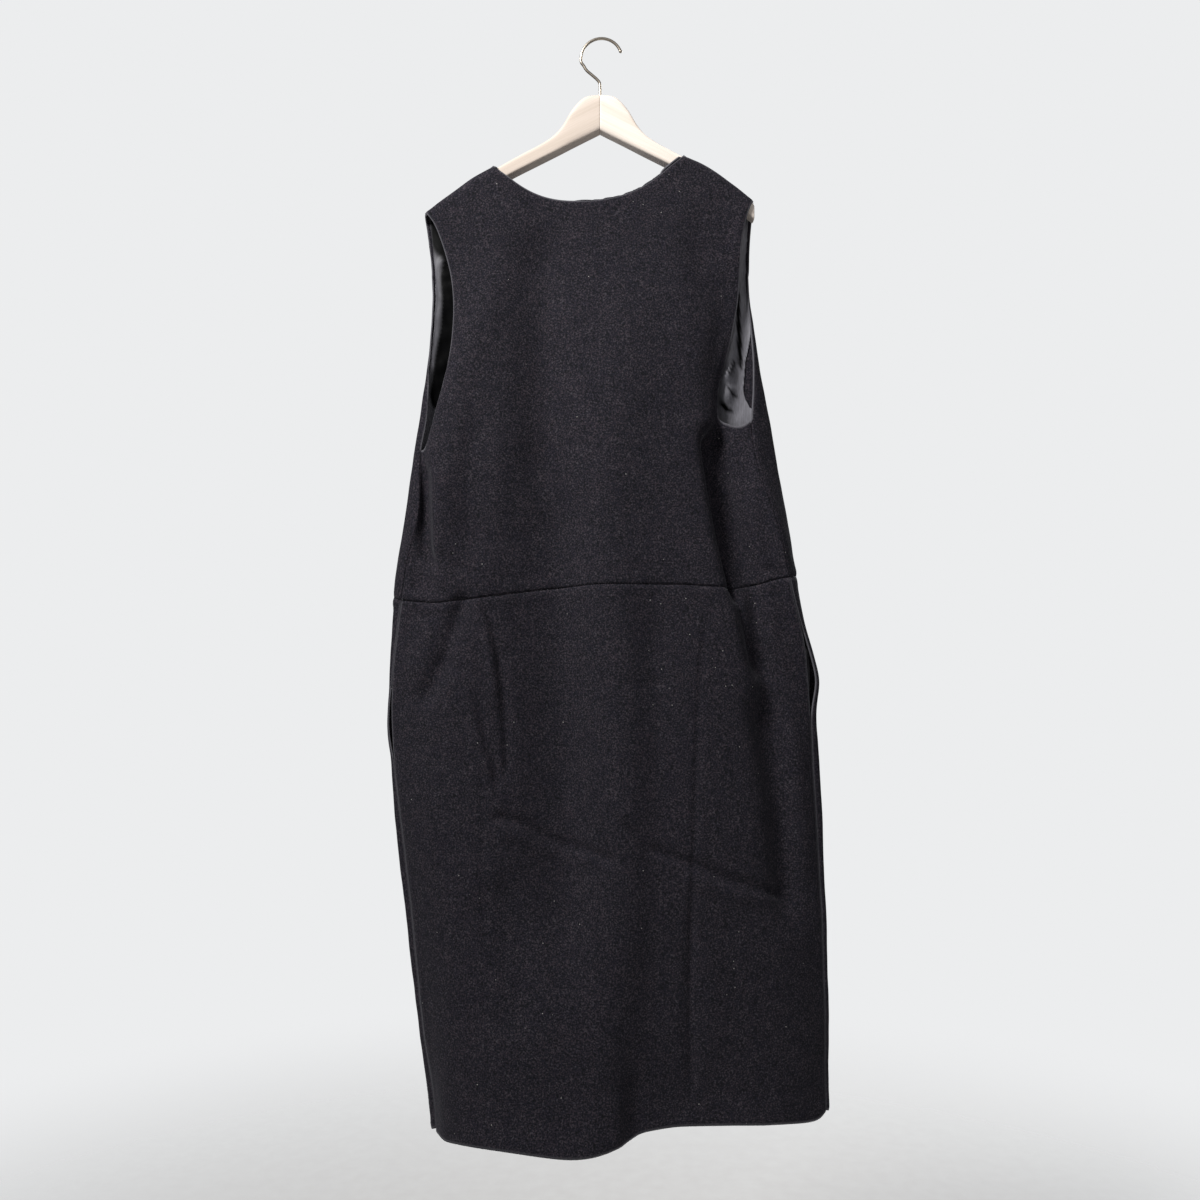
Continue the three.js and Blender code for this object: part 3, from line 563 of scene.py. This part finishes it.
# %% Folds, seams and edges pressed in
EDGE_DIP_MM, EDGE_DIP_WIDTH = 0.6, 1.8
TURNING_LIFT_MM, TURNING_AT, TURNING_WIDTH = 0.5, 7.5, 4.5
PUCKER_MM, PUCKER_SIZE, PUCKER_REACH = 1.1, 15, 20
WAVE_MM, WAVE_SIZE = 1.3, 85
DIMPLE_MM, DIMPLE_SIZE = 0.4, 24
WAVE_SEED, DIMPLE_SEED, PUCKER_SEED = 1.7, 4.8, 7.3
BACK_SETTLE_MM, FRONT_SETTLE_MM, NECK_SETTLE_REACH = 3.2, 5.4, 20 * MM


def sewn_edges(skin):
    """Height in mm near the edges of a panel: the dip, the turnings and the puckers."""
    dip = -EDGE_DIP_MM * np.exp(-(skin["to_rim"] / EDGE_DIP_WIDTH) ** 2)
    lift = TURNING_LIFT_MM * np.exp(-((skin["to_rim"] - TURNING_AT) / TURNING_WIDTH) ** 2)
    pucker = PUCKER_MM * np.exp(-(skin["to_waist"] / PUCKER_REACH) ** 2) * unevenness(
        skin["flat"], PUCKER_SIZE, PUCKER_SEED)
    return dip + lift + pucker


def press(skin, read_places, folds, settle_mm):
    points = skin["flat"]
    height = pressed(read_places(points), folds) + sewn_edges(skin)
    height += WAVE_MM * unevenness(points, WAVE_SIZE, WAVE_SEED)
    height += DIMPLE_MM * unevenness(points, DIMPLE_SIZE, DIMPLE_SEED)
    skin["now"] = points + skin["flat_normals"] * height[:, None] * MM
    settle = [math.exp(-(from_neck_points(Vector(p)) / NECK_SETTLE_REACH) ** 2) for p in points]
    skin["now"][:, 2] -= settle_mm * MM * np.array(settle)


press(skins["back_bodice"], as_seen, SEEN_FOLDS, BACK_SETTLE_MM)
press(skins["back_skirt"], as_seen, SEEN_FOLDS, BACK_SETTLE_MM)
press(skins["front_bodice"], as_measured, UNSEEN_FOLDS, FRONT_SETTLE_MM)
press(skins["front_skirt"], as_measured, UNSEEN_FOLDS, FRONT_SETTLE_MM)

# %% [markdown]
# ## Closing the seams
# Two panels are sewn where their edges lie side by side. There the folds of both have to
# agree, so both edges move to the middle between them, and the cloth beside follows less
# and less. One of the two keeps a narrow turning, which goes down behind the edge of the
# other and lies under it, as the seam allowance does. It also shuts the seam to the light.

# %% Wool pieces
WOOL_THICKNESS_MM = 1.9
EASE_WIDTH = 14 * MM
TURNING_DEEP = 2.4 * MM
TURNING_UNDER = 3.6 * MM
LIES_UNDER = {
    "back_bodice": ["front_bodice"],
    "back_skirt": ["back_bodice", "front_skirt"],
    "front_bodice": [],
    "front_skirt": ["front_bodice"],
}


def put_points(mesh, points):
    mesh.vertices.foreach_set("co", points.ravel())
    mesh.update()


def drawn_together(name):
    """The panel's points after its sewn edges have moved half-way to their partners."""
    skin = skins[name]
    lift = {key: skins[key]["now"] - skins[key]["flat"] for key in skins}
    shift = {v: (lift[other][near] - lift[name][v]) / 2 for v, (other, near) in skin["sewn"].items()}
    tree = tree_of(skin["flat"], sorted(shift))
    moved = skin["now"].copy()
    for k, place in enumerate(skin["flat"]):
        _, v, away = tree.find(place)
        moved[k] += shift[v] * math.exp(-(away / EASE_WIDTH) ** 2)
    return moved


def ways_out(mesh):
    """At each rim point, the way out of the panel within its own surface."""
    bm = bmesh.new()
    bm.from_mesh(mesh)
    ways = {}
    for edge in bm.edges:
        if edge.is_boundary:
            first, second = edge.verts
            face = edge.link_faces[0]
            out = (second.co - first.co).cross(face.normal).normalized()
            if out.dot(face.calc_center_median() - first.co) > 0:
                out.negate()
            for vertex in edge.verts:
                ways[vertex.index] = ways.get(vertex.index, Vector()) + out
    bm.free()
    return {v: way.normalized() for v, way in ways.items()}


def extruded(bm, edges, places):
    """New points beyond these edges, at the places given by their old points."""
    made = bmesh.ops.extrude_edge_only(bm, edges=edges)["geom"]
    fresh = {item for item in made if isinstance(item, bmesh.types.BMVert)}
    following = {}
    for old, place in places.items():
        new = next(e.other_vert(old) for e in old.link_edges if e.other_vert(old) in fresh)
        new.co = place
        following[old] = new
    for edge in edges:
        if not edge.is_contiguous:
            added = next(f for f in edge.link_faces if any(v in fresh for v in f.verts))
            added.normal_flip()
    return following, [e for e in made if isinstance(e, bmesh.types.BMEdge)]


def add_turning(name):
    """The seam allowance: down behind the next panel's edge, then under that panel."""
    skin = skins[name]
    bm = bmesh.new()
    bm.from_mesh(skin["mesh"])
    bm.verts.ensure_lookup_table()
    under = {v for v, (other, near) in skin["sewn"].items() if other in LIES_UNDER[name]}
    edges = [e for e in bm.edges if e.is_boundary and all(v.index in under for v in e.verts)]
    corners = {v for e in edges for v in e.verts}
    down, along = {}, {}
    for vertex in corners:
        other, near = skin["sewn"][vertex.index]
        inward = -(skins[other]["normals"][near] + Vector(skin["normals"][vertex.index])).normalized()
        down[vertex] = vertex.co + inward * TURNING_DEEP
        along[vertex] = (Vector(skins[other]["now"][near]) - skins[other]["ways"][near] * TURNING_UNDER
                         - skins[other]["normals"][near] * TURNING_DEEP)
    following, edge_of_turning = extruded(bm, edges, down)
    extruded(bm, edge_of_turning, {following[v]: along[v] for v in corners})
    bm.to_mesh(skin["mesh"])
    bm.free()


def new_piece(name, mesh, material):
    mesh.materials.clear()
    mesh.materials.append(material)
    mesh.polygons.foreach_set("use_smooth", [True] * len(mesh.polygons))
    piece = bpy.data.objects.new(name, mesh)
    bpy.context.scene.collection.objects.link(piece)
    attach(piece, "root")
    return piece


def give_thickness(piece, thickness_mm):
    wall = piece.modifiers.new("thickness", "SOLIDIFY")
    wall.thickness = thickness_mm * MM
    wall.offset = -1
    wall.use_even_offset = False


def flat_area(mesh):
    return sum(polygon.area for polygon in mesh.polygons)


# Painted highlight with wear: share at free edges, share at the skirt's side seams, width in mm.
HIGHLIGHT_AND_WEAR_AT_EDGE, HIGHLIGHT_AND_WEAR_AT_SEAM, HIGHLIGHT_AND_WEAR_WIDTH_MM = 0.55, 0.3, 1.3


def mark_wear_and_highlight(name):
    """The share of lighter colour at each point, partly rubbed fibres and partly painted highlight: along free
    edges and the skirt's side seams.
    """
    skin = skins[name]
    sides = [v for v, (other, near) in skin["sewn"].items() if "skirt" in name and "skirt" in other]
    wear_and_highlight = HIGHLIGHT_AND_WEAR_AT_EDGE * np.exp(-(skin["to_free"] / HIGHLIGHT_AND_WEAR_WIDTH_MM) ** 2)
    if sides:
        rubbed_and_highlit = HIGHLIGHT_AND_WEAR_AT_SEAM * np.exp(-(distances(skin["flat"], sides) / HIGHLIGHT_AND_WEAR_WIDTH_MM) ** 2)
        wear_and_highlight = np.maximum(wear_and_highlight, rubbed_and_highlit)
    layer = skin["mesh"].attributes.new("worn_and_highlit", "FLOAT", "POINT")
    layer.data.foreach_set("value", wear_and_highlight.astype(np.float32))


for name, points in [(name, drawn_together(name)) for name in skins]:
    skins[name]["now"] = points
    put_points(skins[name]["mesh"], points)
    skins[name]["normals"] = [Vector(n) for n in arrays_of(skins[name]["mesh"])[1]]
    skins[name]["ways"] = ways_out(skins[name]["mesh"])
    mark_wear_and_highlight(name)
behind_wool = {name: skins[name]["mesh"].copy() for name in ("back_bodice", "front_bodice")}

panels = {}
for name, skin in skins.items():
    add_turning(name)
    panels[name] = new_piece(f"wool_{name}", skin["mesh"], wool)
    give_thickness(panels[name], WOOL_THICKNESS_MM)
    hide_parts(name)
    print(f"{panels[name].name}: {len(skin['mesh'].polygons)} faces,"
          f" {flat_area(skin['mesh']):.3f} square metres")

# %% [markdown]
# ## Lining
# The lining is cut like the bodice and hangs just inside it, so its skin starts from the
# wool's outer face, moved in past the wool. It stops short of the edges, where the wool
# turns in as a facing, which gets wider under the arm. Thin satin is a little larger than
# the wool outside it, and crumples, but only away from the wool. In the right armhole it
# stands up in a few bigger folds, which are placed as they show.

# %% Lining pieces
LINING_BEHIND_MM = 3.2
LINING_SHORT_MM = 3.4
LINING_SLOPE_MM = 12
LINING_THICKNESS_MM = 0.4
FACING_WIDER_MM, FACING_WIDENS_FROM, FACING_WIDENS_OVER = 21, 318, 130
BORDER_EASINGS = 8
CRUMPLES = [(52, 3.6), (21, 3.0), (9.5, 1.3)]
# Lines of painted shade on the lining, deep in the armholes and under the left shoulder: strength, left and right
# width in mm, fade share, and line across and below the hook in mm.
PAINTED_SHADE_LINES = [
    (1.0, 8, 8, 0.20, [(-189, 258), (-186, 325), (-188, 362), (-193, 388), (-198, 419), (-203, 450), (-212, 480)]),
    (0.6, 12, 12, 0.30, [(-204, 190), (-196, 232), (-192, 280)]),
    (0.42, 30, 30, 0.10, [(-215, 180), (-205, 320), (-208, 470)]),
    (0.9, 4, 3, 0.25, [(172, 296), (174, 345), (176, 400), (178, 430)]),
    (0.8, 3, 3, 0.35, [(171, 398), (166, 412), (158, 428)]),
    (0.8, 3, 3, 0.35, [(150, 448), (158, 462), (170, 466)]),
    (0.7, 2, 3, 0.35, [(154, 430), (166, 446), (176, 452)]),
]
LINING_FOLDS = [
    (11.0, 11, 9, 0.25, [(172, 310), (164, 370), (158, 425), (154, 475)]),
    (6.0, 4, 5, 0.35, [(148, 436), (160, 420), (172, 406)]),
    (5.4, 4, 4, 0.35, [(152, 462), (164, 440), (176, 436)]),
    (-5.0, 4, 4, 0.35, [(168, 340), (162, 372), (156, 400)]),
]


def lining_panel(node, wool_node, folds, seed):
    mesh = behind_wool[wool_node]
    points, normals = arrays_of(mesh)
    skin = skins[wool_node]
    wider = FACING_WIDER_MM * (points[:, 0] > 0) * smooth_step(
        (-skin["flat"][:, 2] / MM - FACING_WIDENS_FROM) / FACING_WIDENS_OVER)
    inside = np.minimum(skin["to_rim"] - LINING_SHORT_MM, skin["to_free"] - LINING_SHORT_MM - wider)
    crumple = sum(tall * np.abs(unevenness(points, size, seed + size)) for size, tall in CRUMPLES)
    crumple += pressed(as_seen(points), folds)
    behind = LINING_BEHIND_MM + crumple * smooth_step(inside / LINING_SLOPE_MM)
    put_points(mesh, points - normals * behind[:, None] * MM)
    # painted shade: the share of near-black laid on the lining along those lines
    dark = smooth_step((pressed(as_seen(points), PAINTED_SHADE_LINES) - 0.3) / 0.3)
    mesh.attributes.new("painted_shade", "FLOAT", "POINT").data.foreach_set("value", dark.astype(np.float32))
    bm = bmesh.new()
    bm.from_mesh(mesh)
    bm.verts.ensure_lookup_table()
    short = [v for v in bm.verts if inside[v.index] < 0]
    bmesh.ops.delete(bm, geom=short, context="VERTS")
    for _ in range(BORDER_EASINGS):
        bmesh.ops.smooth_vert(bm, verts=[v for v in bm.verts if v.is_boundary], factor=0.5,
                              use_axis_x=True, use_axis_y=True, use_axis_z=True)
    bmesh.ops.reverse_faces(bm, faces=bm.faces)
    bm.to_mesh(mesh)
    bm.free()
    piece = new_piece(f"satin_{node}", mesh, satin)
    give_thickness(piece, LINING_THICKNESS_MM)
    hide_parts(node)
    print(f"{piece.name}: {len(mesh.polygons)} faces, {flat_area(mesh):.3f} square metres")
    return piece


linings = {
    "back": lining_panel("lining_back", "back_bodice", [], 2.4),
    "front": lining_panel("lining_front", "front_bodice", LINING_FOLDS, 8.9),
}

# %% [markdown]
# ## Pocket bags
# Each in-seam pocket is a flat pouch of the same satin behind the side seam, sewn from a
# back and a front piece. Each piece is smoothed, gets soft wrinkles and its thickness.

# %% Pocket bag pieces
POUCH_LEVELS = 3
POUCH_THICKNESS_MM = 0.7
POUCH_WRINKLE_MM, POUCH_WRINKLE_SIZE = 0.35, 30


def pocket_piece(node, facing, seed):
    mesh = smoothed(skin_of(node, facing), POUCH_LEVELS)
    points, normals = arrays_of(mesh)
    sway = POUCH_WRINKLE_MM * unevenness(points, POUCH_WRINKLE_SIZE, seed)
    put_points(mesh, points + normals * sway[:, None] * MM)
    piece = new_piece(f"satin_{node}", mesh, pocketing)
    give_thickness(piece, POUCH_THICKNESS_MM)
    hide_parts(node)
    print(f"{piece.name}: {len(mesh.polygons)} faces, {flat_area(mesh):.4f} square metres")
    return piece


pouches = {
    "back_right": pocket_piece("pocket_back_right", BACK, 3.3),
    "front_right": pocket_piece("pocket_front_right", FRONT, 3.3),
    "back_left": pocket_piece("pocket_back_left", BACK, 6.1),
    "front_left": pocket_piece("pocket_front_left", FRONT, 6.1),
}

# %% [markdown]
# ## Wooden hanger
# The two arms are sawn from pale hardwood, rounded over, and glued on the centre line, so
# the grain runs down each arm and breaks at the joint. Rings of the right height are taken
# from the model along each arm, made finer and bridged, which keeps the arm's own shape.

# %% Wood material
GRAIN_ACROSS_MM = 1.6
GRAIN_ALONG_MM = 70
PORE_MM = 0.5
KNOT_AT = (0.0021, -0.006, -0.1145)
KNOT_RADIUS_MM = 3.4
knot_colour = linear("#7d6552")


def wood_material(name, slope, pale, dark):
    material, tree = new_material(name)
    place = add_node(tree, "ShaderNodeTexCoord").outputs["Object"]
    turned = add_node(tree, "ShaderNodeMapping", {
        "Vector": place, "Rotation": (0, slope, 0)}).outputs["Vector"]
    drawn = add_node(tree, "ShaderNodeMapping", {
        "Vector": turned, "Scale": (GRAIN_ACROSS_MM / GRAIN_ALONG_MM, 0.6, 1.0)}).outputs["Vector"]
    grain = add_node(tree, "ShaderNodeTexNoise", {
        "Vector": drawn, "Scale": per_metre(GRAIN_ACROSS_MM), "Detail": 3.0, "Distortion": 0.4})
    bands = add_node(tree, "ShaderNodeTexNoise", {
        "Vector": drawn, "Scale": per_metre(GRAIN_ACROSS_MM * 5), "Detail": 1.0})
    pores = add_node(tree, "ShaderNodeTexNoise", {
        "Vector": drawn, "Scale": per_metre(PORE_MM), "Detail": 2.0})
    both = add_node(tree, "ShaderNodeMath", {
        0: grain.outputs["Fac"], 1: bands.outputs["Fac"]}, operation="ADD")
    half = add_node(tree, "ShaderNodeMath", {0: both.outputs["Value"], 1: 0.5}, operation="MULTIPLY")
    tone = set_ramp(add_node(tree, "ShaderNodeValToRGB", {"Fac": half.outputs["Value"]}), [
        (0.32, linear(dark)), (0.60, linear(pale))])
    to_knot = add_node(tree, "ShaderNodeVectorMath", {0: place, 1: KNOT_AT}, operation="DISTANCE")
    knot = add_node(tree, "ShaderNodeMapRange", {
        "Value": to_knot.outputs["Value"], "From Min": 0.8 * MM, "From Max": KNOT_RADIUS_MM * MM,
        "To Min": 0.6, "To Max": 0.0})
    stained = add_node(tree, "ShaderNodeMix", {
        "Factor": knot.outputs["Result"], "A": tone.outputs["Color"], "B": knot_colour}, data_type="RGBA")
    relief = add_node(tree, "ShaderNodeBump", {
        "Height": pores.outputs["Fac"], "Strength": 0.15, "Distance": 0.15 * MM})
    wood = add_node(tree, "ShaderNodeBsdfPrincipled", {
        "Base Color": stained.outputs["Result"], "Normal": relief.outputs["Normal"],
        "Roughness": 0.55, "Specular IOR Level": 0.4})
    add_node(tree, "ShaderNodeOutputMaterial", {"Surface": wood.outputs["BSDF"]})
    return material


ARM_SLOPE = math.atan(0.5)
wood_right = wood_material("hardwood_right", -ARM_SLOPE, "#f6ebe1", "#e8d9cb")
wood_left = wood_material("hardwood_left", ARM_SLOPE, "#decfc3", "#cfc0b2")

# %% Hanger arm pieces
RING_SIDES = 32
RING_SQUARENESS = 5.5
ARM_HALF_THICKNESS = 11.3 * MM
RING_LEAST_POINTS = 12
JOINT_EDGE_MM = 0.4


def rings_of(node):
    """The arm's rings, as rows of x, top and bottom, found where many points share an x."""
    by_place = {}
    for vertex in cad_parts[node].data.vertices:
        at = tuple(round(c / MM, 2) for c in vertex.co)
        by_place.setdefault(at[0], set()).add((at[2], at[1]))
    rows = [(x, max(zs)[0], min(zs)[0]) for x, zs in by_place.items() if len(zs) >= RING_LEAST_POINTS]
    return sorted(rows, key=lambda row: abs(row[0]))


def add_ring(bm, x, top, bottom):
    made = bmesh.ops.create_circle(bm, cap_ends=False, radius=1, segments=RING_SIDES)["verts"]
    middle, half = (top + bottom) / 2 * MM, (top - bottom) / 2 * MM
    power = 2 / RING_SQUARENESS
    for vertex in made:
        across, up = vertex.co.x, vertex.co.y
        vertex.co = (
            x * MM,
            ARM_HALF_THICKNESS * math.copysign(abs(across) ** power, across),
            middle + half * math.copysign(abs(up) ** power, up))
    return list({edge for vertex in made for edge in vertex.link_edges})


def hanger_arm(node, material):
    bm = bmesh.new()
    rows = rings_of(node)
    x, top, bottom = rows[0]
    rows.insert(1, (x + math.copysign(JOINT_EDGE_MM, x), top, bottom))
    rings = [add_ring(bm, *row) for row in rows]
    for ring, following in zip(rings, rings[1:]):
        bmesh.ops.bridge_loops(bm, edges=ring + following)
    ends = [edge for edge in bm.edges if edge.is_boundary]
    caps = bmesh.ops.holes_fill(bm, edges=ends, sides=0)["faces"]
    bmesh.ops.inset_region(bm, faces=caps, thickness=1.5 * MM, depth=0.4 * MM)
    bmesh.ops.recalc_face_normals(bm, faces=bm.faces)
    mesh = bpy.data.meshes.new(node)
    bm.to_mesh(mesh)
    bm.free()
    piece = new_piece(f"wood_{node}", mesh, material)
    rounding = piece.modifiers.new("smooth", "SUBSURF")
    rounding.levels = rounding.render_levels = 1
    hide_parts(node)
    print(f"{piece.name}: {len(rings)} rings, {len(mesh.polygons)} faces")
    return piece


arms = [hanger_arm("hanger_arm_right", wood_right), hanger_arm("hanger_arm_left", wood_left)]

# %% [markdown]
# ## Wire hook
# The hook is one length of nickel-plated steel wire, bent round and let into the wood. A
# curve with a round bevel is the plain way to make bent wire. Its free end is rounded by a
# small ball, as the real wire is upset there so that it doesn't scratch.

# %% Hook material
BRUSH_MM = 0.4


def nickel_material():
    material, tree = new_material("nickel_satin")
    place = add_node(tree, "ShaderNodeTexCoord").outputs["Object"]
    marks = add_node(tree, "ShaderNodeTexNoise", {
        "Vector": place, "Scale": per_metre(BRUSH_MM), "Detail": 2.0})
    tone = set_ramp(add_node(tree, "ShaderNodeValToRGB", {"Fac": marks.outputs["Fac"]}), [
        (0.3, linear("#b3a898")), (0.7, linear("#cfc4b6"))])
    dullness = add_node(tree, "ShaderNodeMapRange", {
        "Value": marks.outputs["Fac"], "To Min": 0.24, "To Max": 0.40})
    metal = add_node(tree, "ShaderNodeBsdfPrincipled", {
        "Base Color": tone.outputs["Color"], "Metallic": 1.0, "Roughness": dullness.outputs["Result"]})
    add_node(tree, "ShaderNodeOutputMaterial", {"Surface": metal.outputs["BSDF"]})
    return material


nickel = nickel_material()

# %% Hook piece
WIRE_RADIUS_MM = 1.8
BEND_CENTRE = (1.9, 23.8)
BEND_RADIUS_MM = 25.6
BEND_FROM, BEND_TO, BEND_STEP = 22, 190, 12
HOOK_NECK = [(-20.6, 32), (-17.2, 37.4), (-9.5, 44.3), (-3.2, 50), (-0.6, 53.6), (0, 58), (0, 78), (0, 97)]
TIP_RADIUS_MM = 2.15


def hook_route():
    route = []
    for degrees in range(BEND_FROM, BEND_TO + 1, BEND_STEP):
        angle = math.radians(degrees)
        route.append((BEND_CENTRE[0] + BEND_RADIUS_MM * math.cos(angle),
                      BEND_CENTRE[1] - BEND_RADIUS_MM * math.sin(angle)))
    return route + HOOK_NECK


def wire_hook():
    route = hook_route()
    curve = bpy.data.curves.new("wire", "CURVE")
    curve.dimensions = "3D"
    curve.bevel_depth = WIRE_RADIUS_MM * MM
    curve.bevel_resolution = 5
    curve.use_fill_caps = True
    curve.resolution_u = 8
    line = curve.splines.new("BEZIER")
    line.bezier_points.add(len(route) - 1)
    for point, (x, drop) in zip(line.bezier_points, route):
        point.co = (x * MM, 0, -drop * MM)
        point.handle_left_type = point.handle_right_type = "AUTO"
    bent = bpy.data.objects.new("bent_wire", curve)
    bpy.context.scene.collection.objects.link(bent)
    finished = bent.evaluated_get(bpy.context.evaluated_depsgraph_get())
    wire = bpy.data.meshes.new_from_object(finished)
    bpy.data.objects.remove(bent)
    bm = bmesh.new()
    bm.from_mesh(wire)
    bmesh.ops.remove_doubles(bm, verts=bm.verts, dist=CLOSE)
    ball = bmesh.ops.create_uvsphere(bm, u_segments=20, v_segments=12, radius=TIP_RADIUS_MM * MM)
    x, drop = route[0]
    bmesh.ops.translate(bm, verts=ball["verts"], vec=(x * MM, 0, -drop * MM))
    bm.to_mesh(wire)
    bm.free()
    piece = new_piece("wire_hook", wire, nickel)
    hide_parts("hook")
    print(f"{piece.name}: {len(wire.polygons)} faces")
    return piece


hook = wire_hook()

# %% [markdown]

# %% [markdown]
# ## Floor and light
# The floor is a pale disc well below the hem, which fades out at its rim so that no
# horizon cuts the picture. The light is soft: a pale surround, a wide window-like light
# from the left front, and a weaker one from the right that opens the shadows.

# %% Floor
FLOOR_BELOW = 0.7
FLOOR_RADIUS = 2.6
FLOOR_SOLID_TO = 0.25


def floor_material():
    material, tree = new_material("pale_floor")
    place = add_node(tree, "ShaderNodeTexCoord").outputs["Object"]
    from_middle = add_node(tree, "ShaderNodeVectorMath", {0: place}, operation="LENGTH")
    share = add_node(tree, "ShaderNodeMapRange", {
        "Value": from_middle.outputs["Value"], "From Min": FLOOR_RADIUS * FLOOR_SOLID_TO,
        "From Max": FLOOR_RADIUS, "To Min": 1.0, "To Max": 0.0}, interpolation_type="SMOOTHSTEP")
    grain = add_node(tree, "ShaderNodeTexNoise", {"Vector": place, "Scale": per_metre(40), "Detail": 2.0})
    tone = set_ramp(add_node(tree, "ShaderNodeValToRGB", {"Fac": grain.outputs["Fac"]}), [
        (0.3, linear("#efedeb")), (0.7, linear("#f5f4f2"))])
    surface = add_node(tree, "ShaderNodeBsdfPrincipled", {
        "Base Color": tone.outputs["Color"], "Roughness": 0.9, "Specular IOR Level": 0.2,
        "Alpha": share.outputs["Result"]})
    add_node(tree, "ShaderNodeOutputMaterial", {"Surface": surface.outputs["BSDF"]})
    return material


def pale_floor():
    bm = bmesh.new()
    bmesh.ops.create_circle(bm, cap_ends=True, radius=FLOOR_RADIUS, segments=96)
    mesh = bpy.data.meshes.new("floor")
    bm.to_mesh(mesh)
    bm.free()
    mesh.materials.append(floor_material())
    floor = bpy.data.objects.new("floor", mesh)
    floor.location = (0, 0, cad_low.z - FLOOR_BELOW)
    bpy.context.scene.collection.objects.link(floor)


pale_floor()

# %% Light
SURROUND_SEEN = linear("#ecedee")
SURROUND_LIGHT = 0.18


def surround():
    world = bpy.data.worlds.new("surround")
    bpy.context.scene.world = world
    world.use_nodes = True
    tree = world.node_tree
    tree.nodes.clear()
    seen = add_node(tree, "ShaderNodeBackground", {"Color": SURROUND_SEEN, "Strength": 1.0})
    light = add_node(tree, "ShaderNodeBackground", {
        "Color": linear("#f4f6fb"), "Strength": SURROUND_LIGHT})
    path = add_node(tree, "ShaderNodeLightPath")
    both = add_node(tree, "ShaderNodeMixShader", {
        0: path.outputs["Is Camera Ray"], 1: light.outputs["Background"], 2: seen.outputs["Background"]})
    add_node(tree, "ShaderNodeOutputWorld", {"Surface": both.outputs["Shader"]})


def soft_light(name, place, aim, size, watts, colour, spread=180):
    data = bpy.data.lights.new(name, "AREA")
    data.shape = "RECTANGLE"
    data.size, data.size_y = size
    data.energy = watts
    data.spread = math.radians(spread)
    data.color = colour[:3]
    light = bpy.data.objects.new(name, data)
    light.location = place
    light.rotation_euler = (Vector(aim) - Vector(place)).to_track_quat("-Z", "Y").to_euler()
    bpy.context.scene.collection.objects.link(light)


MIDDLE = (0, 0, -0.75)
surround()
soft_light("window", (-1.42, -1.55, 1.25), (0, 0, 0.0), (0.8, 0.8), 36, linear("#fffefc"), spread=105)
soft_light("fill", (1.6, -2.4, 0.6), (0, 0, -0.6), (1.8, 1.8), 8.5, linear("#fffdf8"))
soft_light("behind", (1.7, 2.7, 0.8), MIDDLE, (2.0, 1.6), 40, linear("#ffffff"))
bpy.context.scene.view_settings.view_transform = "Standard"
